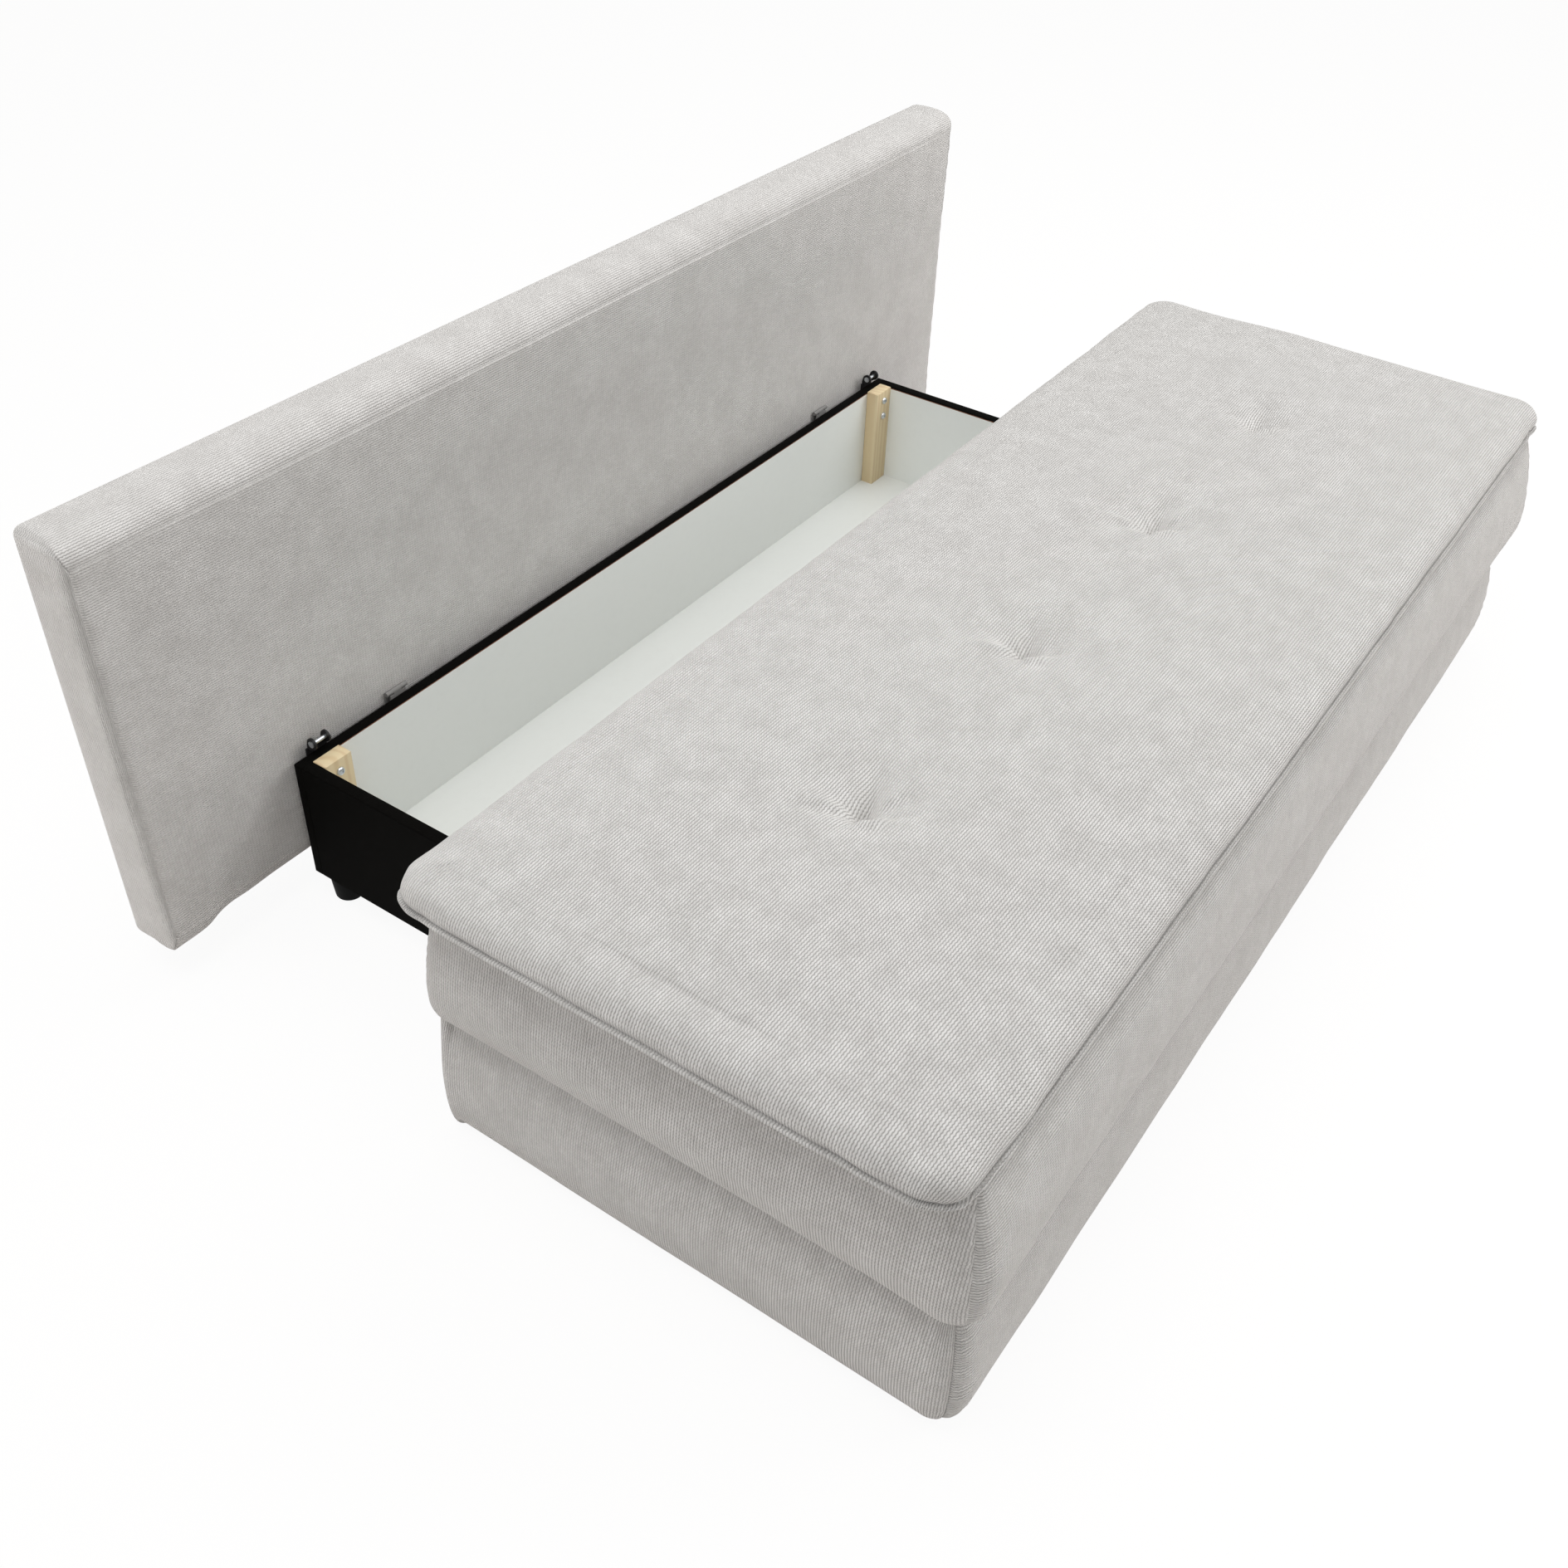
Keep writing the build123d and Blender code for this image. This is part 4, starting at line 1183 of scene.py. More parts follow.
    def tuft(self, away: np.ndarray, number: int) -> np.ndarray:
        """How far one tuft pulls each point down.

        Args:
            away: Each point's way from the tuft, in plan.
            number: Which tuft it is, so that each has its own creases.

        Returns:
            The depth at each point.
        """
        dice = np.random.default_rng(self.first_tuft_seed + number)
        reach = np.hypot(*away.T)
        angle = np.arctan2(away[:, 1], away[:, 0])
        spread = 1 + self.long_share * np.cos(angle - self.long_way)
        dish = np.exp(-((reach / (self.dish_width * spread)) ** self.dish_power))
        pinch = np.exp(-((reach / (self.pinch_width * spread)) ** self.pinch_power))
        lip = np.clip(np.cos(angle - self.lip_way), 0, 1) ** self.lip_power
        lip *= bump_at(reach - self.lip_reach, self.lip_width)
        depth = self.dish_depth * dish + self.pinch_depth * pinch - self.lip_rise * lip
        for crease in self.creases:
            way = crease.way + dice.uniform(-self.crease_turn, self.crease_turn)
            bend = dice.uniform(-self.crease_bend, self.crease_bend)
            off = angle - way - reach * bend
            side, ahead = np.sin(off) * reach, np.cos(off) > 0
            width = crease.width * (0.40 + reach / self.crease_widening)
            along = blend(reach, 0, self.crease_start) * bump_at(reach, crease.length)
            strength = crease.depth * dice.uniform(*self.crease_strength)
            depth += np.where(ahead, strength * along * bump_at(side, width), 0)
        return depth

    def wave_edge(self, points: np.ndarray, height: np.ndarray) -> None:
        """Let the lip and the side waver, most at the corners.

        Args:
            points: The pad's points, which are moved.
            height: Each point's share of the pad's height.
        """
        own = points[:, :2] - (0, self.middle())
        gap = self.block.gap(own)
        near = bump_at(np.hypot(*gap.T), self.corner_reach)
        side = 1 - blend(gap.min(axis=1), self.side_start, self.side_width)
        low = (1 - blend(height, 0, self.wave_top)) * side
        flat = points * (1, 1, 0)
        wave = rippled(self.edge_waves, flat, near)
        puff = self.edge_puff.at(flat, near) * side * np.sin(height * math.pi)
        out = np.sign(own) * (1 - blend(gap, self.out_start, self.out_width))
        points[:, 2] += wave * low * np.where(wave < 0, self.sag_share, 1.0)
        points[:, :2] += out * ((wave * self.wave_out - self.tuck) * low + puff)[:, None]

    def stitches(self) -> bpy.types.Object:
        """The row of stitches in the groove above the lip.

        Returns:
            The stitches.
        """
        half_x = self.block.half_length - self.stitch_inset
        half_y = self.block.half_depth - self.stitch_inset
        r = self.corner - self.stitch_inset
        corners = ((half_x - r, half_y - r, 0), (r - half_x, half_y - r, 1),
                   (r - half_x, r - half_y, 2), (half_x - r, r - half_y, 3))
        route = []
        for x, y, quarter in corners:
            for angle in np.linspace(quarter, quarter + 1, 9) * (math.pi / 2):
                route.append((x + r * math.cos(angle), y + self.middle() + r * math.sin(angle)))
        points = np.array([(x, y, self.low.z + self.stitch_rise) for x, y in route + route[:1]])
        return stitch_row("topper_stitches", [points], self.stitch_step, self.finishes.thread)

    def build(self) -> None:
        """Make the pad and its stitches."""
        self.lay()
        points = self.block.points + (0, self.middle(), 0)
        uv = self.block.cloth_map(self.tufts(), pull=0.5, reach=0.022)
        piece = make_piece("topper", points, self.block.lattice.faces, self.finishes.fabric, uv)
        held = points[:, 2] < self.low.z + self.held_height
        for x, y in self.tufts():
            held |= np.hypot(points[:, 0] - x, points[:, 1] - self.middle() - y) < self.held_round
        inflate(piece, held, pressure=0.7, frames=12, cap=0.004, growth=0.0004)
        points = self.soften(points_of(piece.data))
        points[:, 1] = ease_to(points[:, 1], self.high.y, 1)
        set_points(piece.data, points)
        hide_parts("topper_cover", "tuft_buttons")
        for made in (piece, self.stitches()):
            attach(made, "seat")
        self.foam()

    def foam(self) -> None:
        """Make the pad's foam, dented under the tufts."""
        low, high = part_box("topper_core")
        half_x, half_y, _ = half_sizes(low, high)
        section = Section([low.z, low.z + 0.001, high.z - 0.004, high.z - 0.001, high.z],
                          [0.003, 0.0, 0.0, 0.0015, 0.005], step=0.006)
        near_tuft, spacing = (0.06, 0.008), 0.03
        xs = breaks(-half_x, half_x, spacing, [(x, *near_tuft) for x, _ in self.tufts()])
        ys = breaks(-half_y, half_y, spacing, [(-self.tuft_forward, *near_tuft)])
        block = SoftBlock(half_x, half_y, 0.012, section, xs, ys)
        points = block.points + (0, (low.y + high.y) / 2, 0)
        upper = blend(points[:, 2], low.z, high.z - low.z)
        for x, y in self.tufts():
            reach = np.hypot(points[:, 0] - x, points[:, 1] - self.middle() - y)
            points[:, 2] -= upper * self.foam_dent * bump_at(reach, self.foam_dent_width)
        piece = make_piece("topper_foam", points, block.lattice.faces, self.finishes.foam)
        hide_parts("topper_core")
        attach(piece, "seat")


@dataclass(frozen=True)
class CornerSeam:
    """A drawn-in upright seam with small folds that fan out from it."""

    fold_length: float
    seed: int
    fold_height: float = 0.0022
    fold_reach: float = 0.028
    fold_start: float = 0.006
    slit_depth: float = 0.0032
    slit_width: float = 0.0045
    dip_depth: float = 0.0014
    dip_width: float = 0.016

    def move(self, points: np.ndarray, gap: np.ndarray) -> np.ndarray:
        """How far the seam moves each point outward.

        Args:
            points: The points.
            gap: Each point's distance from the seam.

        Returns:
            The distances, which are negative where the cloth is drawn in.
        """
        turn = points[:, 2] / self.fold_length * 2 * math.pi + wander(points, 0.06, self.seed) * 3.0
        folds = np.sin(turn) * np.exp(-gap / self.fold_reach) * blend(gap, 0, self.fold_start)
        slit = self.slit_depth * bump_at(gap, self.slit_width)
        return self.fold_height * folds - slit - self.dip_depth * bump_at(gap, self.dip_width)


@dataclass
class Mattress(SoftPart):
    """The middle layer: a bulging block drawn in at its seams."""

    corner: float = 0.046
    spacing: float = 0.018
    floor_rim: float = 0.010
    wall_slant: float = 0.0006
    rear_folds: float = 0.30

    slow = (Ripple(0.28, 0.0018, 21), Ripple(0.09, 0.0006, 22))
    seam_ripple = Ripple(0.035, 0.0006, 24)
    corner_seam = CornerSeam(0.021, 23)

    def section(self) -> Section:
        """A bulge that is full at the lower seam and leans back towards the upper one.

        Returns:
            The section.
        """
        tall = self.high.z - self.low.z
        shares = np.array([0.0, 0.006, 0.02, 0.045, 0.09, 0.16, 0.27, 0.4, 0.52, 0.64, 0.75, 0.84, 0.91,
                           0.955, 0.98, 0.994, 1.0])
        insets = MM * np.array([30.0, 20.0, 11.5, 5.6, 1.6, 0.0, 0.8, 3.4, 7.4, 12.4, 17.8, 23.0, 28.0, 32.0,
                                35.5, 39.5, 44.0])
        heights = self.low.z + tall * np.clip(shares, 0.0008, 0.9992)
        return Section([heights[0] - 0.0001, *heights, heights[-1] + 0.0001],
                       [insets[0] + self.floor_rim, *insets, insets[-1] + 2 * self.floor_rim], step=0.009)

    def build(self) -> None:
        """Make the layer."""
        half_x, half_y, _ = half_sizes(self.low, self.high)
        wall_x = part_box("seat_right_board")[1].x
        wall_y = self.middle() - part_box("seat_front_board")[0].y
        near = (0.10, 0.005)
        xs = with_line(with_line(grid_lines(half_x, self.spacing, near), wall_x), -wall_x)
        ys = with_line(grid_lines(half_y, self.spacing, near), -wall_y)
        self.block = SoftBlock(half_x, half_y, self.corner, self.section(), xs, ys)
        points = self.block.points + (0, self.middle(), 0)
        piece = make_piece("mattress_layer", points, self.block.lattice.faces, self.finishes.fabric,
                           self.block.cloth_map())
        rim = (points[:, 2] < self.low.z + 0.006) | (points[:, 2] > self.high.z - 0.004)
        inflate(piece, rim, pressure=0.7, frames=10, cap=0.003, growth=0.002)
        points = self.soften(piece.data)
        points[:, 1] = ease_to(points[:, 1], self.high.y, 1)
        self.hollow(points, wall_x, wall_y)
        set_points(piece.data, points)
        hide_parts("mattress_cover")
        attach(piece, "seat")

    def hollow(self, points: np.ndarray, wall_x: float, wall_y: float) -> None:
        """Raise the bottom over the seat frame's deck, and open that recess to the rear.

        Args:
            points: The layer's points, which are moved.
            wall_x: Half the recess's length.
            wall_y: How far the recess reaches forward of the layer's middle.
        """
        block, deck = self.block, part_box("seat_deck")[1].z
        halves, walls = (block.half_length, block.half_depth), (wall_x, wall_y)
        plan, bottom = block.plan, block.lattice.grid[:, 2] == 0
        inside = (np.abs(plan[:, 0]) < wall_x + TOUCH) & (plan[:, 1] > -wall_y - TOUCH)
        rim = block.section.lines[0][1]
        for axis, (half, wall) in enumerate(zip(halves, walls)):
            size = np.abs(plan[:, axis])
            first = size[size > wall + TOUCH].min()
            start = wall + self.wall_slant
            beyond = start + (size - first) / (half - first) * (half - rim - start)
            place = np.sign(plan[:, axis]) * np.where(size > wall + TOUCH, beyond, size)
            points[bottom, axis] = place[bottom] + (self.middle() if axis else 0)
        points[bottom & inside, 2] = deck
        rear = inside & (plan[:, 1] > block.half_depth - TOUCH) & ~bottom
        points[rear, 2] = deck + self.share_up(points[rear]) * (self.high.z - deck)

    def soften(self, mesh: bpy.types.Mesh) -> np.ndarray:
        """Add the corner seams with their folds, and the slow unevenness of the sides.

        Args:
            mesh: The layer's mesh.

        Returns:
            The moved points.
        """
        points, normals = points_of(mesh), points_of(mesh, "normal")
        middle = np.sin(np.clip(self.share_up(points), 0, 1) * math.pi)
        ahead = np.where(self.block.plan[:, 1] < 0, 1.0, self.rear_folds)
        move = rippled(self.slow, points) * middle
        move += self.corner_seam.move(points, self.block.corner_distance()) * middle * ahead
        move += self.seam_ripple.at(points * (1, 1, 0)) * np.clip(1 - middle * 2.2, 0, 1)
        return points + normals * (move * self.block.is_side())[:, None]


@dataclass
class PadPath:
    """The outer line of one base pad in plan, with its outward directions and its inner line."""

    outer: np.ndarray
    outward: np.ndarray
    inner: np.ndarray

    def shares(self) -> np.ndarray:
        """How far along the outer line each of its points is, from 0 to 1."""
        run = self.run()
        return run / run[-1]

    def run(self) -> np.ndarray:
        """Each outer point's distance along the line."""
        steps = np.linalg.norm(np.diff(self.outer, axis=0), axis=1)
        return np.concatenate([[0], np.cumsum(steps)])

    def mirrored(self) -> "PadPath":
        """The same pad on the other end."""
        flip = np.array([-1.0, 1.0])
        return PadPath(self.outer[::-1] * flip, self.outward[::-1] * flip, self.inner[::-1] * flip)


@dataclass
class BasePads:
    """The lowest layer: padded panels on the front and both ends, rounded under at the floor."""

    finishes: Finishes
    corner: float = 0.044
    rear_corner: float = 0.022
    mitre_angle: float = math.radians(42)
    flat_rear: float = 0.80
    step: float = 0.013
    board_overlap: float = 0.004

    slow = (Ripple(0.30, 0.0020, 31), Ripple(0.10, 0.0006, 32))
    corner_seam = CornerSeam(0.023, 33)

    def section(self, low: float, high: float) -> Section:
        """The pads' section up their height.

        Args:
            low: The pads' lowest height.
            high: Their highest height.

        Returns:
            The section.
        """
        tall = high - low
        shares = [0.001, 0.007, 0.022, 0.05, 0.095, 0.155, 0.24, 0.36, 0.50, 0.64, 0.77, 0.87, 0.94, 0.975,
                  0.999]
        insets = [0.034, 0.0275, 0.0205, 0.0142, 0.0086, 0.0044, 0.0014, 0.0001, 0.0016, 0.0062, 0.0132,
                  0.0208, 0.0284, 0.0342, 0.0430]
        return Section([low + tall * s for s in shares], insets, step=0.009)

    def arc(self, centre: tuple, radius: float, start: float, end: float) -> tuple:
        """Points and outward directions along a corner.

        Args:
            centre: The arc's centre in plan.
            radius: Its radius.
            start: Its first angle.
            end: Its last angle.

        Returns:
            The points and the outward directions.
        """
        count = max(4, round(abs(end - start) * radius / 0.004))
        angles = np.linspace(start, end, count)
        way = np.stack([np.cos(angles), np.sin(angles)], axis=1)
        return np.array(centre) + radius * way, way

    def line(self, start: tuple, end: tuple, way: tuple) -> tuple:
        """Points and outward directions along a straight run, without its last point.

        Args:
            start: The run's first point.
            end: The run's last point.
            way: Its outward direction.

        Returns:
            The points and the outward directions.
        """
        length = math.dist(start, end)
        near = min(0.10, length / 3)
        at = breaks(0, length, self.step, [(0, near, 0.005), (length, near, 0.005)])[:-1] / length
        points = np.array(start) + at[:, None] * (np.array(end) - np.array(start))
        return points, np.tile(np.array(way, float), (len(points), 1))

    def paths(self, frame_half: float, frame_front: float, half: float, rear: float,
              front: float) -> dict[str, PadPath]:
        """The three pads' outlines.

        Args:
            frame_half: Half the seat frame's length.
            frame_front: The seat frame's front face.
            half: Half the pads' outer length.
            rear: The pads' rear end.
            front: The front pad's outer face.

        Returns:
            A path for each pad, by the name of the node that it replaces.
        """
        r, b = self.corner, self.rear_corner
        turn = math.pi + self.mitre_angle
        pivot = (-half + r, front + r)
        rear_arc = self.arc((-half + b, rear - b), b, math.pi / 2, math.pi)
        side_parts = [
            self.line((-frame_half - self.board_overlap, rear), (-half + b, rear), (0, 1)),
            (rear_arc[0][:-1], rear_arc[1][:-1]),
            self.line((-half, rear - b), (-half, front + r), (-1, 0)),
            self.arc(pivot, r, math.pi, turn),
        ]
        first = self.arc(pivot, r, turn, 1.5 * math.pi)
        front_parts = [
            (first[0][:-1], first[1][:-1]),
            self.line((-half + r, front), (half - r, front), (0, -1)),
            self.arc((half - r, front + r), r, 1.5 * math.pi, 3 * math.pi - turn),
        ]
        outer, way = (np.concatenate([part[k] for part in side_parts]) for k in (0, 1))
        left = PadPath(outer, way, np.zeros_like(outer))
        share = left.shares()
        left.inner = np.stack([np.full(len(outer), -frame_half), rear + share * (frame_front - rear)], axis=1)
        outer, way = (np.concatenate([part[k] for part in front_parts]) for k in (0, 1))
        ahead = PadPath(outer, way, np.zeros_like(outer))
        share = ahead.shares()
        ahead.inner = np.stack([frame_half * (2 * share - 1), np.full(len(outer), frame_front)], axis=1)
        return {"base_left_pad": left, "base_front_pad": ahead, "base_right_pad": left.mirrored()}

    def build(self) -> None:
        """Make the three pads."""
        board_low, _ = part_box("seat_left_board")
        board_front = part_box("seat_front_board")[0].y
        left_low, left_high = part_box("base_left_pad")
        front_low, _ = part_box("base_front_pad")
        paths = self.paths(-board_low.x, board_front, -left_low.x, left_high.y, front_low.y)
        for name, path in paths.items():
            self.pad(name, path, left_low.z, left_high.z)

    def pad(self, node: str, path: PadPath, low: float, high: float) -> None:
        """Make one pad.

        Args:
            node: The CAD node that it replaces.
            path: Its outline in plan.
            low: Its lowest height.
            high: Its highest height.
        """
        section = self.section(low, high)
        lattice = Lattice(len(path.outer), 3, len(section))
        i, j, k = lattice.grid.T
        z, inset, _ = section.lines[k].T
        run = path.run()
        gap = {"base_left_pad": run[-1] - run, "base_right_pad": run,
               "base_front_pad": np.minimum(run, run[-1] - run)}[node][i]
        middle = np.sin(blend(z, low, high - low) * math.pi)
        outer = np.column_stack([path.outer[i], z])
        move = rippled(self.slow, outer) * middle
        flat_end = 1 - self.flat_rear * np.clip(path.outward[i][:, 1], 0, 1)
        move += self.corner_seam.move(outer, gap) * middle ** 0.5 - inset * flat_end
        outer[:, :2] += path.outward[i] * move[:, None]
        plan = path.inner[i] + (outer[:, :2] - path.inner[i]) * (j / 2)[:, None]
        along, up = run[i], section.run()[k]
        pair = (along, up) if node == "base_front_pad" else (up, along)
        uv = np.stack(pair, axis=1)[lattice.faces]
        piece = make_piece(node.replace("base", "lower"), np.column_stack([plan, z]),
                           lattice.faces[:, ::-1], self.finishes.fabric, uv[:, ::-1])
        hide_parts(node)
        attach(piece, "seat")


# Backrest


@dataclass
class Backrest(SoftPart):
    """The upright upholstered panel with sewn end gussets."""

    corner: float = 0.014
    spacing: float = 0.018
    crown: float = 0.0045
    crown_start: float = 0.02
    crown_width: float = 0.14
    front_start: float = 0.015
    front_width: float = 0.03
    sag: float = 0.009
    seam_depth: float = 0.0020
    seam_width: float = 0.0038
    ruck_length: float = 0.031
    ruck_height: float = 0.0007
    ruck_reach: float = 0.020
    slack_height: float = 0.12
    hang_end: float = 0.072
    hang_fade: float = 0.0065
    lift_share: float = 0.25
    lift_place: float = 0.105
    lift_width: float = 0.02
    drag: float = 0.004
    stitch_start: float = 0.0085
    stitch_rows: tuple = (0.0045, 0.0085)
    stitch_margin: float = 0.03
    stitch_step: float = 0.0062

    slow = (Ripple(0.33, 0.0014, 51), Ripple(0.11, 0.0005, 52))
    hem_ripple = Ripple(0.16, 0.0016, 55)

    def section(self) -> Section:
        """The panel's section through its thickness, from the rear to the front.

        Returns:
            The section.
        """
        thick = self.high.y - self.low.y
        depths = [0.0, 0.0008, 0.003, 0.008, 0.018, 0.034, 0.050, 0.062, 0.071, 0.0785, 0.0835, 0.0862,
                  0.0874, thick - self.crown]
        long_edges = [0.012, 0.0062, 0.0030, 0.0010, 0.0, 0.0, 0.0010, 0.0034, 0.0068, 0.0115, 0.0170, 0.0225,
                      0.0275, 0.0340]
        end_edges = [0.010, 0.0050, 0.0022, 0.0006, 0.0, 0.0, 0.0002, 0.0004, 0.0008, 0.0014, 0.0024, 0.0040,
                     0.0058, 0.0100]
        return Section(depths, long_edges, end_edges, step=0.007)

    def build(self) -> None:
        """Make the panel and the stitches of its gussets."""
        half_x, _, half_z = half_sizes(self.low, self.high)
        near = (0.11, 0.005)
        xs, zs = (grid_lines(half, self.spacing, near) for half in (half_x, half_z))
        self.block = SoftBlock(half_x, half_z, self.corner, self.section(), xs, zs, upright_ends=True,
                               least_corner=0.004)
        local = self.block.points
        middle_z = (self.low.z + self.high.z) / 2
        points = np.stack([local[:, 0], self.high.y - local[:, 2], middle_z + local[:, 1]], axis=1)
        piece = make_piece("backrest_panel", points, self.block.lattice.faces, self.finishes.back_fabric,
                           self.block.cloth_map())
        inflate(piece, local[:, 2] < 0.010, pressure=0.6, frames=10, cap=0.0025, growth=0.001)
        points = self.soften(piece.data)
        points[:, 1] = ease_to(points[:, 1], self.low.y, -1)
        set_points(piece.data, points)
        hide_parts("backrest_cover")
        for made in (piece, self.stitches()):
            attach(made, "backrest")

    def soften(self, mesh: bpy.types.Mesh) -> np.ndarray:
        """Add the gusset seams, the slack lower corners and the slow unevenness of the padding.

        Args:
            mesh: The panel's mesh.

        Returns:
            The moved points.
        """
        points, normals = points_of(mesh), points_of(mesh, "normal")
        gap, depth = self.block.gap(self.block.points[:, :2]), self.block.points[:, 2]
        front = blend(depth, self.front_start, self.front_width)
        face = smooth_step(blend(gap.min(axis=1), self.crown_start, self.crown_width))
        points[:, 1] -= self.crown * face * blend(depth, 0.04, 0.04)
        move = rippled(self.slow, points) * front
        last = depth[self.block.lattice.grid[:, 2] == len(self.block.section) - 1].max()
        to_seam = np.hypot(last - depth, np.maximum(gap[:, 0] - 0.010, 0))
        edges = bump_at(self.block.corner_distance(), self.seam_width) * (depth > 0.004)
        move -= self.seam_depth * (bump_at(to_seam, self.seam_width) + edges)
        ruck = np.sin(points[:, 2] * 2 * math.pi / self.ruck_length + wander(points, 0.09, 54) * 2.0)
        move += self.ruck_height * ruck * np.exp(-gap[:, 0] / self.ruck_reach) * front
        points += normals * move[:, None]
        self.slacken(points, gap, front)
        return points

    def slacken(self, points: np.ndarray, gap: np.ndarray, front: np.ndarray) -> None:
        """Let the cover hang a little at the lower corners and waver along the lower edge.

        Args:
            points: The panel's points, which are moved.
            gap: Their distances from the ends and from the long edges.
            front: How far each counts as the front.
        """
        low = (1 - blend(points[:, 2], self.low.z, self.slack_height)) ** 1.5
        hang = 1 / (1 + np.exp((gap[:, 0] - self.hang_end) / self.hang_fade))
        lift = self.lift_share * bump_at(gap[:, 0] - self.lift_place, self.lift_width)
        drop = self.sag * (hang - lift) + self.hem_ripple.at(points * (1, 0, 0))
        points[:, 2] -= drop * low
        points[:, 1] -= self.drag * low * hang * front

    def stitches(self) -> bpy.types.Object:
        """Two rows of stitches up each end gusset, beside its front seam.

        Returns:
            The stitches.
        """
        rows = []
        for side in (-1, 1):
            for back in self.stitch_rows:
                x = side * (self.block.half_length - 0.0006)
                y = self.low.y + self.stitch_start + back
                z = np.linspace(self.low.z + self.stitch_margin, self.high.z - self.stitch_margin, 40)
                rows.append(np.column_stack([np.full(40, x), np.full(40, y), z]))
        return stitch_row("gusset_stitches", rows, self.stitch_step, self.finishes.thread)


# Storage box


def bevelled_box(low: Vector, high: Vector, radius: float, segments: int = 3,
                 keep: tuple = ()) -> bmesh.types.BMesh:
    """A box whose edges are rounded.

    Args:
        low: Its lowest corner.
        high: Its highest corner.
        radius: The rounding's radius.
        segments: How many faces each rounding has.
        keep: Axes and signs of the sides whose edges stay sharp, such as ("x", 1).

    Returns:
        The box.
    """
    made = bmesh.new()
    bmesh.ops.create_cube(made, size=1.0)
    size = high - low
    bmesh.ops.scale(made, vec=size, verts=made.verts)
    bmesh.ops.translate(made, vec=(low + high) / 2, verts=made.verts)
    chosen = []
    for edge in made.edges:
        at = (edge.verts[0].co + edge.verts[1].co) / 2
        sharp = False
        for axis, sign in keep:
            n = "xyz".index(axis)
            limit = high[n] if sign > 0 else low[n]
            sharp = sharp or abs(at[n] - limit) < 1e-7
        if not sharp:
            chosen.append(edge)
    bmesh.ops.bevel(made, geom=chosen, offset=radius, segments=segments, affect="EDGES", profile=0.5)
    return made


